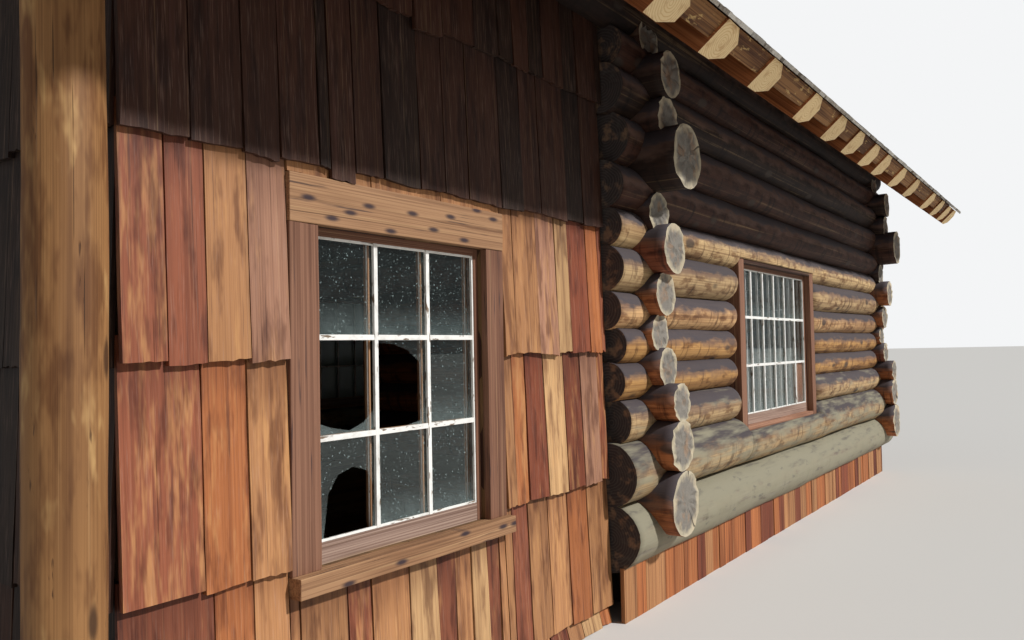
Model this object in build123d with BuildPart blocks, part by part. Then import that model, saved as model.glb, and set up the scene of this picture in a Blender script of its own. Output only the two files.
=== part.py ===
from build123d import *
import math
import os

# Log cabin with a shake-clad front room. All sizes are in millimetres.
# +X runs along the building from the porch to the rear, -Y is the side that is
# seen with its eave, +Z is up. The ground is z = 0 and the origin is the centre
# of the ground plan.

# Plan
front_overhang = 1100.0
front_room_length = 3140.0
log_room_length = 5780.0
rear_overhang = 500.0
wall_spacing = 4900.0

# Log walls, counted from the sill upwards; the round of a log has log_sides flat sides
sill_height = 260.0
side_diameters = [355, 340, 250, 210, 210, 215, 255, 225, 265, 285, 275, 235, 240]
end_diameters = [350, 290, 215, 225, 215, 245, 275, 240, 360, 260, 265, 245]
end_lifts = [-20, -30, -30, -30, -30, -20, 0, 0, 50, 0, 0, 0]
log_sides = 12
scribe_depth = 15.0
notch_clearance = 0.5
side_log_reach = 400.0
end_log_reach = 300.0
porch_reach_cuts = [0, 10, 0, 60, 10, 50, 0]
rear_reach_cuts = [0, 120, 40, 190, 70, 150, 20]
end_reach_cuts = [30, 40, 40, 120, 160, 120, 60, 150, -30, 80, 60, 190]

# Roof
roof_pitch = 42.0
eave_reach = 760.0
plate_seat = 30.0
rafter_depth = 185.0
rafter_bays = [608, 607, 608, 555, 558, 631, 752, 589, 494, 481, 430, 612, 619, 873, 549, 450, 350]
last_rafter_inset = 180.0
blocking_height = 112.0
blocking_thickness = 38.0
blocking_setback = 14.0
roof_board_thickness = 19.0
roof_board_setback = 120.0
roof_shake_exposure = 250.0
roof_shake_bed = 18.0
roof_shake_step = 14.0
roof_shake_lip = 35.0
ridge_pole_radius = 110.0
ridge_pole_inset = 150.0
ridge_cap_width = 190.0
ridge_cap_thickness = 24.0
seat_clearance = 0.3

# Outline of a rafter about its middle: the first number of each corner runs along the
# building, the second one square to the roof. One side is straight, the other hewn broadly.
rafter_outline = [
    (-140, 0),
    (-20, 0),
    (105, 42),
    (135, 127),
    (55, rafter_depth),
    (-75, rafter_depth),
]

# Framed walls of the front room and the gables
frame_thickness = 100.0
frame_inset = 25.0
shake_tip = 12.0
shake_butt = 30.0
shake_levels = [0, 100, 755, 1430, 2090, 2765, 3370]
gable_shake_exposure = 650.0
corner_plank = 25.0
corner_stud = 145.0

# Posts of the porch
post_radius = 100.0
post_gap = 50.0
plate_nose = 200.0

# Floor, laid on sleeper logs
floor_top = 290.0
floor_boards = 35.0
sleeper_count = 4
sleeper_bed = 8.0
fitting_gap = 3.0

# Timber piers and the skirt of boards under the sill logs
pier_size = 300.0
pier_spacing = 1900.0
skirt_thickness = 25.0
skirt_inset = 60.0

# Windows
front_sash_width = 960.0
log_sash_width = 1640.0
sash_height = 1170.0
sash_stile = 30.0
sash_bottom_rail = 75.0
sash_thickness = 36.0
sash_recess = 50.0
sash_clearance = 0.3
glass_thickness = 3.0
casing_thickness = 32.0
front_window_start = 718.0
front_window_sill = 720.0
casing_left = 127.0
casing_right = 120.0
casing_head = 165.0
sill_board = 70.0
sill_nose = 40.0
sill_horn = 12.0
log_window_start = 1495.0
log_window_sill = 870.0
jamb_width = 100.0
jamb_face = 100.0
jamb_depth = 220.0
head_board = 30.0

# Doorways
door_width = 860.0
door_height = 1780.0
door_thickness = 45.0
door_clearance = 4.0
door_lining = 40.0
ledge_height = 140.0
ledge_thickness = 30.0

# Places that follow from the sizes above
roof_length = front_overhang + front_room_length + log_room_length + rear_overhang
roof_front_x = -roof_length / 2
roof_rear_x = roof_length / 2
front_wall_x = roof_front_x + front_overhang
near_cross_x = front_wall_x + front_room_length
far_cross_x = near_cross_x + log_room_length
log_room_x = (near_cross_x + far_cross_x) / 2
stub_end_x = near_cross_x - side_log_reach
side_y = wall_spacing / 2
courses = len(side_diameters)
pitch = math.radians(roof_pitch)


def side_radius(course):
    """Radius of a long wall's log, the sill being course 1."""
    return side_diameters[course - 1] / 2


def side_height(course):
    """Height of a long wall's log axis: each log is scribed down over the one below."""
    height = sill_height + side_radius(1)
    for upper in range(2, course + 1):
        height += side_radius(upper - 1) + side_radius(upper) - scribe_depth
    return height


def end_radius(course):
    """Radius of a cross wall's log."""
    return end_diameters[course - 1] / 2


def end_height(course):
    """Height of a cross wall's log axis, half a course above the long walls' log."""
    return side_height(course) + side_radius(course) - scribe_depth / 2 + end_lifts[course - 1]


plate_height = side_height(courses)
plate_radius = side_radius(courses)
seat_height = plate_height + (plate_radius - plate_seat) / math.cos(pitch)
eave_y = side_y + eave_reach
eave_height = seat_height - eave_reach * math.tan(pitch)
apex_height = seat_height + side_y * math.tan(pitch)
slope_length = (eave_y + rafter_depth) / math.cos(pitch) + frame_thickness


def rafter_underside(y):
    """Height of the rafters' underside at a distance from the ridge line."""
    return apex_height - abs(y) * math.tan(pitch)


frame_outer_y = side_y - frame_inset
frame_inner_y = frame_outer_y - frame_thickness
frame_outer_x = front_wall_x + frame_inset
frame_inner_x = frame_outer_x + frame_thickness
frame_top = rafter_underside(frame_outer_y) - fitting_gap
gable_base = plate_height - plate_radius
post_x = front_wall_x - post_gap - post_radius
doorway_width = door_width + 2 * door_lining
doorway_height = door_height + door_lining
doorway_top = floor_top + doorway_height

rafter_places = [roof_rear_x - last_rafter_inset]
for bay in reversed(rafter_bays):
    rafter_places.insert(0, rafter_places[0] - bay)

rear_gable_x = far_cross_x - frame_thickness / 2
rear_gable_outer_x = rear_gable_x + frame_thickness

front_window_x = front_wall_x + front_window_start + front_sash_width / 2
front_window_z = front_window_sill + sash_height / 2
front_opening = front_sash_width + 2 * sash_clearance
log_window_x = near_cross_x + log_window_start + log_sash_width / 2
log_window_z = log_window_sill + sash_height / 2
log_opening = log_sash_width + 2 * sash_clearance
log_frame_width = log_opening + 2 * jamb_width
log_frame_height = sash_height + 2 * (sash_clearance + head_board)
front_sash_y = frame_outer_y + casing_thickness - sash_recess
log_sash_y = side_y + jamb_face - sash_recess
sash_places = [
    (front_window_x, front_sash_y, front_window_z, front_sash_width),
    (log_window_x, log_sash_y, log_window_z, log_sash_width),
]

# Plane of the rafter tails on the -Y side: local x runs towards -X, local y is
# square to the roof and local z runs up the slope, from the tails' lower corner.
tail_plane = Plane(
    origin=(0, -eave_y, eave_height),
    x_dir=(-1, 0, 0),
    z_dir=(0, math.cos(pitch), math.sin(pitch)),
)
# Plane of the roof's section: local x runs up the slope, local y square to it.
section_plane = Plane(
    origin=(roof_front_x, -eave_y, eave_height),
    x_dir=(0, math.cos(pitch), math.sin(pitch)),
    z_dir=(1, 0, 0),
)
MIN = Align.MIN
MAX = Align.MAX
MID = Align.CENTER

os.makedirs("parts", exist_ok=True)


def save(part, name):
    """Labels a finished piece and writes its file."""
    part.label = name
    export_step(part, f"parts/{name}.step")


def both_sides(y, z):
    """The same place on the two long walls, in a sketch across the building."""
    return Locations((-y, z), (y, z))


def both_ends(z):
    """The same height on the two cross walls, in a sketch along the building."""
    return Locations((near_cross_x, z), (far_cross_x, z))


# Long walls: each node holds one course of both walls, split at the windows
for course in range(1, courses + 1):
    start_x = stub_end_x + porch_reach_cuts[course % len(porch_reach_cuts)]
    if course == courses:
        start_x = post_x - post_radius - plate_nose
    end_x = far_cross_x + side_log_reach - rear_reach_cuts[(course + 3) % len(rear_reach_cuts)]
    with BuildPart() as side_logs:
        with BuildSketch(Plane.YZ.offset(start_x)):
            with both_sides(side_y, side_height(course)):
                RegularPolygon(side_radius(course), log_sides)
        extrude(amount=end_x - start_x)
        if course > 1:
            with BuildSketch(Plane.YZ.offset(roof_front_x)):
                with both_sides(side_y, side_height(course - 1)):
                    RegularPolygon(side_radius(course - 1), log_sides)
            extrude(amount=roof_length, mode=Mode.SUBTRACT)
            with BuildSketch(Plane.XZ):
                with both_ends(end_height(course - 1)):
                    RegularPolygon(end_radius(course - 1) + notch_clearance, log_sides)
            extrude(amount=wall_spacing, both=True, mode=Mode.SUBTRACT)
        with Locations((log_window_x, 0, log_window_z)):
            Box(log_frame_width, 2 * wall_spacing, log_frame_height, mode=Mode.SUBTRACT)
    save(side_logs.part, f"side_logs_course_{course:02d}")

# Cross walls: each log is saddle notched down over the long walls' logs
for course in range(1, courses):
    reach = side_y + end_log_reach - end_reach_cuts[course - 1]
    with BuildPart() as end_logs:
        with BuildSketch(Plane.XZ.offset(-reach)):
            with both_ends(end_height(course)):
                RegularPolygon(end_radius(course), log_sides)
        extrude(amount=2 * reach)
        with BuildSketch(Plane.YZ.offset(roof_front_x)):
            with both_sides(side_y, side_height(course)):
                RegularPolygon(side_radius(course) + notch_clearance, log_sides)
        extrude(amount=roof_length, mode=Mode.SUBTRACT)
        if course > 1:
            with BuildSketch(Plane.XZ):
                with both_ends(end_height(course - 1)):
                    RegularPolygon(end_radius(course - 1), log_sides)
            extrude(amount=wall_spacing, both=True, mode=Mode.SUBTRACT)
        with Locations((near_cross_x, 0, floor_top)):
            Box(side_log_reach, doorway_width, doorway_height, align=(MID, MID, MIN), mode=Mode.SUBTRACT)
    save(end_logs.part, f"end_logs_course_{course:02d}")

# Timber piers under the sill logs, hollowed to the round of the log
pier_inner_y = side_y + skirt_inset - pier_size
pier_rows_y = 2 * side_y + 2 * skirt_inset - pier_size
with BuildPart() as foundation_piers:
    with Locations((log_room_x, 0, 0)):
        with GridLocations(log_room_length + 2 * skirt_inset - pier_size, pier_rows_y, 2, 2):
            Box(pier_size, pier_size, sill_height + scribe_depth, align=(MID, MID, MIN))
        with GridLocations(pier_spacing, pier_rows_y, 2, 2):
            Box(pier_size, pier_size, sill_height + scribe_depth, align=(MID, MID, MIN))
    with BuildSketch(Plane.YZ.offset(roof_front_x)):
        with both_sides(side_y, side_height(1)):
            RegularPolygon(side_radius(1), log_sides)
    extrude(amount=roof_length, mode=Mode.SUBTRACT)
save(foundation_piers.part, "foundation_piers")

# Skirt of boards from the ground up to the round of the lowest logs, on three sides and
# under the inner wall
skirt_outside = skirt_inset + skirt_thickness
with BuildPart() as skirt_boards:
    for side, outward in ((-1, MAX), (1, MIN)):
        with Locations((stub_end_x, side * (side_y + skirt_inset), 0)):
            Box(far_cross_x + skirt_outside - stub_end_x, skirt_thickness, side_height(1),
                align=(MIN, outward, MIN))
    with Locations((far_cross_x + skirt_inset, 0, 0)):
        Box(skirt_thickness, 2 * (side_y + skirt_inset - seat_clearance), end_height(1),
            align=(MIN, MID, MIN))
    with Locations((near_cross_x, 0, 0)):
        Box(skirt_thickness, 2 * (pier_inner_y - seat_clearance), end_height(1),
            align=(MID, MID, MIN))
    with Locations((near_cross_x, 0, floor_top)):
        Box(side_log_reach, doorway_width, doorway_height, align=(MID, MID, MIN), mode=Mode.SUBTRACT)
    with BuildSketch(Plane.YZ.offset(roof_front_x)):
        with both_sides(side_y, side_height(1)):
            RegularPolygon(side_radius(1) + notch_clearance, log_sides)
    extrude(amount=roof_length, mode=Mode.SUBTRACT)
    with BuildSketch(Plane.XZ):
        with both_ends(end_height(1)):
            RegularPolygon(end_radius(1) + notch_clearance, log_sides)
    extrude(amount=wall_spacing, both=True, mode=Mode.SUBTRACT)
save(skirt_boards.part, "skirt_boards")

# Board floors of the two rooms, each with the sleeper logs that lie on the ground
sleeper_radius = (floor_top - floor_boards + sleeper_bed) / 2
floor_half_width = pier_inner_y - fitting_gap
front_floor_x = frame_inner_x + fitting_gap
narrow_floor_x = stub_end_x - corner_stud - fitting_gap
inner_skirt_x = near_cross_x - skirt_thickness / 2 - fitting_gap
log_floor_x = near_cross_x + skirt_thickness / 2 + fitting_gap
log_floor_end_x = far_cross_x + skirt_inset - fitting_gap
floor_runs = [
    (front_floor_x, narrow_floor_x - front_floor_x, frame_inner_y - fitting_gap),
    (narrow_floor_x, inner_skirt_x - narrow_floor_x, floor_half_width),
    (log_floor_x, log_floor_end_x - log_floor_x, floor_half_width),
]
sleeper_runs = [
    (front_floor_x, inner_skirt_x - front_floor_x),
    (log_floor_x, log_floor_end_x - log_floor_x),
]
with BuildPart() as floors:
    for start_x, length, half_width in floor_runs:
        with Locations((start_x, 0, floor_top)):
            Box(length, 2 * half_width, floor_boards, align=(MIN, MID, MAX))
    for start_x, length in sleeper_runs:
        with BuildSketch(Plane.YZ.offset(start_x)):
            with Locations((0, sleeper_radius)):
                with GridLocations(2 * floor_half_width / sleeper_count, 0, sleeper_count, 1):
                    RegularPolygon(sleeper_radius, log_sides)
        extrude(amount=length)
save(floors.part, "floors")

# Framed walls of the front room: beside the log ends a stud and a plank close the gap,
# and the front wall stands between the side walls, on both sides of the doorway
plank_outer_y = side_y - max(side_diameters) / 2 - fitting_gap
plank_inner_y = plank_outer_y - corner_plank
plank_end_x = near_cross_x - max(end_diameters) / 2 - fitting_gap
stud_x = stub_end_x - corner_stud
front_half_width = frame_inner_y - seat_clearance
panel_width = front_half_width - doorway_width / 2
with BuildPart() as wall_frames:
    for side, inward in ((-1, MIN), (1, MAX)):
        with Locations((frame_outer_x, side * frame_outer_y, 0)):
            Box(stub_end_x - fitting_gap - frame_outer_x, frame_thickness, frame_top,
                align=(MIN, inward, MIN))
        with Locations((stud_x, side * frame_inner_y, 0)):
            Box(corner_stud - fitting_gap, frame_inner_y - plank_inner_y, frame_top,
                align=(MIN, inward, MIN))
        with Locations((stud_x, side * plank_outer_y, 0)):
            Box(plank_end_x - stud_x, corner_plank, frame_top, align=(MIN, inward, MIN))
    with Locations((front_window_x, 0, front_window_z)):
        Box(front_opening, wall_spacing, sash_height + 2 * sash_clearance, mode=Mode.SUBTRACT)
    with BuildSketch(Plane.YZ.offset(roof_front_x)):
        with both_sides(side_y, plate_height):
            RegularPolygon(plate_radius + notch_clearance, log_sides)
    extrude(amount=roof_length, mode=Mode.SUBTRACT)
    for side, outward in ((-1, MAX), (1, MIN)):
        with Locations((frame_outer_x, side * doorway_width / 2, 0)):
            Box(frame_thickness, panel_width, gable_base, align=(MIN, outward, MIN))
save(wall_frames.part, "wall_frames")


def gable_points(half_width, base):
    """Outline of a gable up to the rafters, in a sketch across the building."""
    shoulder = rafter_underside(half_width) - seat_clearance
    return [
        (-half_width, base),
        (half_width, base),
        (half_width, shoulder),
        (0, apex_height - seat_clearance),
        (-half_width, shoulder),
    ]


# Framed gables: the front one reaches down over the door, the rear one stands on the logs
ridge_height = apex_height - ridge_pole_radius / math.cos(pitch)
rear_gable_base = end_height(courses - 1)
with BuildPart() as gable_frames:
    with BuildSketch(Plane.YZ.offset(frame_outer_x)):
        with BuildLine():
            Polyline(*gable_points(front_half_width, gable_base), close=True)
        make_face()
        with Locations((0, doorway_top)):
            Rectangle(doorway_width, gable_base - doorway_top, align=(MID, MIN))
    extrude(amount=frame_thickness)
    with BuildSketch(Plane.YZ.offset(rear_gable_x)):
        with BuildLine():
            Polyline(*gable_points(frame_outer_y, rear_gable_base), close=True)
        make_face()
    extrude(amount=frame_thickness)
    with BuildSketch(Plane.YZ.offset(roof_front_x)):
        with Locations((0, ridge_height)):
            Circle(ridge_pole_radius + notch_clearance)
            Rectangle(2 * (ridge_pole_radius + notch_clearance), 2 * ridge_pole_radius, align=(MID, MIN))
        with both_sides(side_y, plate_height):
            RegularPolygon(plate_radius + notch_clearance, log_sides)
    extrude(amount=roof_length, mode=Mode.SUBTRACT)
    with BuildSketch(Plane.XZ):
        with both_ends(end_height(courses - 1)):
            RegularPolygon(end_radius(courses - 1) + notch_clearance, log_sides)
    extrude(amount=wall_spacing, both=True, mode=Mode.SUBTRACT)
save(gable_frames.part, "gable_frames")


def shake_points(inner, outward, levels):
    """Section through courses of shakes, each one lapping over the next below.

    The first number of each point runs away from the wall, the second one up.
    """
    points = [(inner, levels[0])]
    for butt_level, top_level in zip(levels, levels[1:]):
        points.append((inner + outward * shake_butt, butt_level))
        points.append((inner + outward * shake_tip, top_level))
    points.append((inner, levels[-1]))
    return points


# Shakes of the long sides, cut round the window casings
casing_left_x = front_window_x - front_opening / 2 - casing_left
casing_right_x = front_window_x + front_opening / 2 + casing_right
casing_bottom = front_window_sill - sash_clearance - sill_board
casing_top = front_window_sill + sash_height + sash_clearance + casing_head
with BuildPart() as side_shakes:
    with BuildSketch(Plane.YZ.offset(front_wall_x)):
        for side in (-1, 1):
            with BuildLine():
                Polyline(*shake_points(side * frame_outer_y, side, shake_levels), close=True)
            make_face()
    extrude(amount=stub_end_x - fitting_gap - front_wall_x)
    with BuildSketch(Plane.YZ.offset(roof_front_x)):
        with both_sides(side_y, plate_height):
            RegularPolygon(plate_radius + notch_clearance, log_sides)
    extrude(amount=roof_length, mode=Mode.SUBTRACT)
    with Locations((casing_left_x, 0, casing_bottom)):
        Box(casing_right_x - casing_left_x, 2 * wall_spacing, casing_top - casing_bottom,
            align=(MIN, MID, MIN), mode=Mode.SUBTRACT)
save(side_shakes.part, "side_shakes")

# Shakes of the end walls: the front wall with its gable, and the rear gable
gable_levels = list(shake_levels)
while gable_levels[-1] < apex_height:
    gable_levels.append(gable_levels[-1] + gable_shake_exposure)
rear_levels = [rear_gable_base] + [level for level in gable_levels if level > seat_height]
with BuildPart() as front_wall_shakes:
    with BuildSketch(Plane.XZ):
        with BuildLine():
            Polyline(*shake_points(frame_outer_x, -1, gable_levels), close=True)
        make_face()
    extrude(amount=side_y, both=True)
    with BuildSketch(Plane.YZ.offset(roof_front_x)):
        with BuildLine():
            Polyline(*gable_points(frame_outer_y - seat_clearance, 0), close=True)
        make_face()
    extrude(amount=roof_length, mode=Mode.INTERSECT)
    with BuildSketch(Plane.YZ.offset(roof_front_x)):
        with Locations((0, ridge_height)):
            Circle(ridge_pole_radius + notch_clearance)
            Rectangle(2 * (ridge_pole_radius + notch_clearance), 2 * ridge_pole_radius, align=(MID, MIN))
        with both_sides(side_y, plate_height):
            RegularPolygon(plate_radius + notch_clearance, log_sides)
        Rectangle(doorway_width, doorway_top, align=(MID, MIN))
    extrude(amount=roof_length, mode=Mode.SUBTRACT)

with BuildPart() as rear_gable_shakes:
    with BuildSketch(Plane.XZ):
        with BuildLine():
            Polyline(*shake_points(rear_gable_outer_x, 1, rear_levels), close=True)
        make_face()
    extrude(amount=side_y, both=True)
    with BuildSketch(Plane.YZ.offset(roof_front_x)):
        with BuildLine():
            Polyline(*gable_points(frame_outer_y, rear_gable_base), close=True)
        make_face()
    extrude(amount=roof_length, mode=Mode.INTERSECT)
    with BuildSketch(Plane.YZ.offset(roof_front_x)):
        with Locations((0, ridge_height)):
            Circle(ridge_pole_radius + notch_clearance)
            Rectangle(2 * (ridge_pole_radius + notch_clearance), 2 * ridge_pole_radius, align=(MID, MIN))
        with both_sides(side_y, plate_height):
            RegularPolygon(plate_radius + notch_clearance, log_sides)
    extrude(amount=roof_length, mode=Mode.SUBTRACT)
    with BuildSketch(Plane.XZ):
        with both_ends(end_height(courses - 1)):
            RegularPolygon(end_radius(courses - 1) + notch_clearance, log_sides)
    extrude(amount=wall_spacing, both=True, mode=Mode.SUBTRACT)
with BuildPart() as end_shakes:
    add(front_wall_shakes.part)
    add(rear_gable_shakes.part)
save(end_shakes.part, "end_shakes")

# Posts under the noses of the plate logs
with BuildPart() as porch_posts:
    with BuildSketch():
        with Locations((post_x, -side_y), (post_x, side_y)):
            Circle(post_radius)
    extrude(amount=plate_height)
    with BuildSketch(Plane.YZ.offset(roof_front_x)):
        with both_sides(side_y, plate_height):
            RegularPolygon(plate_radius, log_sides)
    extrude(amount=roof_length, mode=Mode.SUBTRACT)
save(porch_posts.part, "porch_posts")

# Ridge pole, and the post that carries it over the inner log wall
with BuildPart() as ridge_pole:
    with BuildSketch(Plane.YZ.offset(roof_front_x + ridge_pole_inset)):
        with Locations((0, ridge_height)):
            Circle(ridge_pole_radius)
    extrude(amount=roof_length - 2 * ridge_pole_inset)
save(ridge_pole.part, "ridge_pole")

with BuildPart() as ridge_post:
    with BuildSketch(Plane.XY.offset(end_height(courses - 1))):
        with Locations((near_cross_x, 0)):
            Circle(ridge_pole_radius)
    extrude(amount=ridge_height - end_height(courses - 1))
    with BuildSketch(Plane.XZ):
        with both_ends(end_height(courses - 1)):
            RegularPolygon(end_radius(courses - 1), log_sides)
    extrude(amount=wall_spacing, both=True, mode=Mode.SUBTRACT)
    with BuildSketch(Plane.YZ.offset(roof_front_x)):
        with Locations((0, ridge_height)):
            Circle(ridge_pole_radius)
    extrude(amount=roof_length, mode=Mode.SUBTRACT)
save(ridge_post.part, "ridge_post")


def rafter_points(place):
    """Outline of the rafter at a place along the building, in the plane of the tails."""
    return [(-place - along, high) for along, high in rafter_outline]


# Rafters: hewn poles cut square at the tail, plumb at the ridge and hollowed over the
# plate log. The far slope mirrors the near one.
with BuildPart() as near_rafters:
    with BuildSketch(tail_plane):
        for place in rafter_places:
            with BuildLine():
                Polyline(*rafter_points(place), close=True)
            make_face()
    extrude(amount=slope_length)
    with BuildSketch(Plane.YZ.offset(roof_front_x)):
        with both_sides(side_y, plate_height):
            RegularPolygon(plate_radius + seat_clearance, log_sides)
        with Locations((-seat_clearance, 0)):
            Rectangle(wall_spacing, 2 * apex_height, align=(MIN, MIN))
    extrude(amount=roof_length, mode=Mode.SUBTRACT)
with BuildPart() as rafters:
    add(near_rafters.part)
    add(near_rafters.part.mirror(Plane.XZ))
save(rafters.part, "rafters")

# Boards between the tails of the rafters, cut to their sides
with BuildPart() as near_blocking:
    with BuildSketch(tail_plane.offset(blocking_setback)):
        with Locations((-rafter_places[0], rafter_depth)):
            Rectangle(rafter_places[-1] - rafter_places[0], blocking_height, align=(MAX, MAX))
        for place in rafter_places:
            with BuildLine():
                Polyline(*rafter_points(place), close=True)
            make_face(mode=Mode.SUBTRACT)
    extrude(amount=blocking_thickness)
with BuildPart() as eave_blocking:
    add(near_blocking.part)
    add(near_blocking.part.mirror(Plane.XZ))
save(eave_blocking.part, "eave_blocking")

# Boards over the rafters
with BuildPart() as near_boards:
    with BuildSketch(tail_plane.offset(roof_board_setback)):
        with Locations((0, rafter_depth)):
            Rectangle(roof_length, roof_board_thickness, align=(MID, MIN))
    extrude(amount=slope_length)
    with Locations((0, -seat_clearance, 0)):
        Box(roof_length, wall_spacing, 2 * apex_height, align=(MID, MIN, MIN), mode=Mode.SUBTRACT)
with BuildPart() as roof_boards:
    add(near_boards.part)
    add(near_boards.part.mirror(Plane.XZ))
save(roof_boards.part, "roof_boards")

# Roof shakes: a stepped section with one step for each course
board_top = rafter_depth + roof_board_thickness
shake_low = board_top + roof_shake_bed
shake_high = shake_low + roof_shake_step
roof_courses = math.floor(slope_length / roof_shake_exposure)
with BuildPart() as near_roof_shakes:
    with BuildSketch(section_plane):
        with BuildLine():
            roof_points = [
                (slope_length, board_top),
                (roof_board_setback - seat_clearance, board_top),
                (roof_board_setback - seat_clearance, rafter_depth),
                (-roof_shake_lip, rafter_depth),
            ]
            for step in range(roof_courses - 1):
                butt = step * roof_shake_exposure - roof_shake_lip
                roof_points.append((butt, shake_high))
                roof_points.append((butt + roof_shake_exposure, shake_low))
            last_butt = (roof_courses - 1) * roof_shake_exposure - roof_shake_lip
            roof_points.append((last_butt, shake_high))
            roof_points.append((slope_length, shake_high))
            Polyline(*roof_points, close=True)
        make_face()
    extrude(amount=roof_length)
    with Locations((0, -seat_clearance, 0)):
        Box(roof_length, wall_spacing, 2 * apex_height, align=(MID, MIN, MIN), mode=Mode.SUBTRACT)
with BuildPart() as roof_shakes:
    add(near_roof_shakes.part)
    add(near_roof_shakes.part.mirror(Plane.XZ))
save(roof_shakes.part, "roof_shakes")

# Ridge cap: two boards in a V over the shakes
cap_low = apex_height + (shake_high + seat_clearance) / math.cos(pitch)
cap_high = cap_low + ridge_cap_thickness / math.cos(pitch)
cap_run = ridge_cap_width * math.cos(pitch)
cap_fall = ridge_cap_width * math.sin(pitch)
with BuildPart() as ridge_cap:
    with BuildSketch(Plane.YZ.offset(roof_front_x)):
        with BuildLine():
            Polyline(
                (0, cap_low),
                (cap_run, cap_low - cap_fall),
                (cap_run, cap_high - cap_fall),
                (0, cap_high),
                (-cap_run, cap_high - cap_fall),
                (-cap_run, cap_low - cap_fall),
                close=True,
            )
        make_face()
    extrude(amount=roof_length)
save(ridge_cap.part, "ridge_cap")

# Window casings: boards round the front room's windows, heavy jambs in the log walls
with BuildPart() as front_casings:
    for side, inward in ((-1, MAX), (1, MIN)):
        with Locations((casing_left_x, side * frame_outer_y, casing_bottom)):
            Box(casing_right_x - casing_left_x, casing_thickness, casing_top - casing_bottom,
                align=(MIN, inward, MIN))
    with Locations((front_window_x, 0, front_window_z)):
        Box(front_opening, 2 * wall_spacing, sash_height + 2 * sash_clearance, mode=Mode.SUBTRACT)
    for side, inward in ((-1, MAX), (1, MIN)):
        with Locations((casing_left_x, side * (frame_outer_y + casing_thickness), casing_bottom)):
            Box(casing_right_x + sill_horn - casing_left_x, sill_nose, sill_board,
                align=(MIN, inward, MIN))

with BuildPart() as log_window_jambs:
    for side, inward in ((-1, MIN), (1, MAX)):
        with Locations((log_window_x, side * (side_y + jamb_face), log_window_z)):
            Box(log_frame_width, jamb_depth, log_frame_height, align=(MID, inward, MID))
    with Locations((log_window_x, 0, log_window_z)):
        Box(log_opening, 2 * wall_spacing, sash_height + 2 * sash_clearance, mode=Mode.SUBTRACT)
with BuildPart() as window_casings:
    add(front_casings.part)
    add(log_window_jambs.part)
save(window_casings.part, "window_casings")

# Sashes and their glass
glass_height = sash_height - sash_stile - sash_bottom_rail
glass_lift = (sash_bottom_rail - sash_stile) / 2
with BuildPart() as window_sashes:
    for x, y, z, width in sash_places:
        for side, inward in ((-1, MIN), (1, MAX)):
            with Locations((x, side * y, z)):
                Box(width, sash_thickness, sash_height, align=(MID, inward, MID))
        with Locations((x, 0, z + glass_lift)):
            Box(width - 2 * sash_stile, 2 * wall_spacing, glass_height, mode=Mode.SUBTRACT)
save(window_sashes.part, "window_sashes")

with BuildPart() as window_glass:
    for x, y, z, width in sash_places:
        for side in (-1, 1):
            with Locations((x, side * (y - sash_thickness / 2), z + glass_lift)):
                Box(width - 2 * sash_stile, glass_thickness, glass_height)
save(window_glass.part, "window_glass")

# Linings of the front doorway and of the doorway through the inner log wall
with BuildPart() as door_linings:
    with Locations((front_wall_x, 0, 0)):
        Box(frame_inner_x - front_wall_x, doorway_width, doorway_top, align=(MIN, MID, MIN))
    with Locations((near_cross_x, 0, floor_top)):
        Box(max(end_diameters), doorway_width, doorway_height, align=(MID, MID, MIN))
    with Locations((0, 0, floor_top)):
        Box(roof_length, door_width, door_height, align=(MID, MID, MIN), mode=Mode.SUBTRACT)
save(door_linings.part, "door_linings")

# Plank door with two ledges across its back
with BuildPart() as front_door:
    with Locations((frame_outer_x, 0, floor_top + seat_clearance)):
        Box(door_thickness, door_width - 2 * door_clearance, door_height - door_clearance,
            align=(MIN, MID, MIN))
    with Locations((frame_outer_x + door_thickness, 0, floor_top + door_height / 2)):
        Box(ledge_thickness, door_width / 2, ledge_height, align=(MIN, MID, MID))
save(front_door.part, "front_door")
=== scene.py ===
"""Log cabin with a shake-clad front room, dressed over its construction frame. Places are in metres."""

import logging
import math
import random
from dataclasses import dataclass, field
from enum import Enum
from functools import partial
from typing import Callable, Iterable

import bmesh
import bpy
from mathutils import Matrix, Vector, noise


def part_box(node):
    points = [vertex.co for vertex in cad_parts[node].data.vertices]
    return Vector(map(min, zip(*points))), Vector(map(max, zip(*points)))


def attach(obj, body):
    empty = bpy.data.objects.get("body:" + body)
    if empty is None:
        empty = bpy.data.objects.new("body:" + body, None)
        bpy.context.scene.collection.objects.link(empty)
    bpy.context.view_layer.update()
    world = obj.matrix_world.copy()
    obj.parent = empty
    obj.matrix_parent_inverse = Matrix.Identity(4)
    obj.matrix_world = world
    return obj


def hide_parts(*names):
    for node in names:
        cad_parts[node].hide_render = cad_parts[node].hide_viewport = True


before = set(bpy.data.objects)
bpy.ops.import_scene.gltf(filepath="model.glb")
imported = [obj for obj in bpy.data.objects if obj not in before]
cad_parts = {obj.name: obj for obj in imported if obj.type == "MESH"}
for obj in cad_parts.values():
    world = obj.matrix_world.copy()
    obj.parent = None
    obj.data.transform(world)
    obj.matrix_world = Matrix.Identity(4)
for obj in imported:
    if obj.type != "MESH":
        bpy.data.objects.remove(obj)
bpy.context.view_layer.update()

log = logging.getLogger("cabin")

MM = 0.001
EAST = Vector((1, 0, 0))
NORTH = Vector((0, 1, 0))
UP = Vector((0, 0, 1))

# Blender's noise vectors start from the clock unless they are seeded
NOISE_SEED = 7

# Ends and edges of the frame's solids that are closer than this meet
TOUCH = 0.01

# The front window's sill reaches this far past the planks above it
SILL_HORN = 0.012

# Sockets of the Mix node when it mixes colours
MIX_FACTOR = 0
MIX_A = 6
MIX_B = 7
MIX_RESULT = 2

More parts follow.
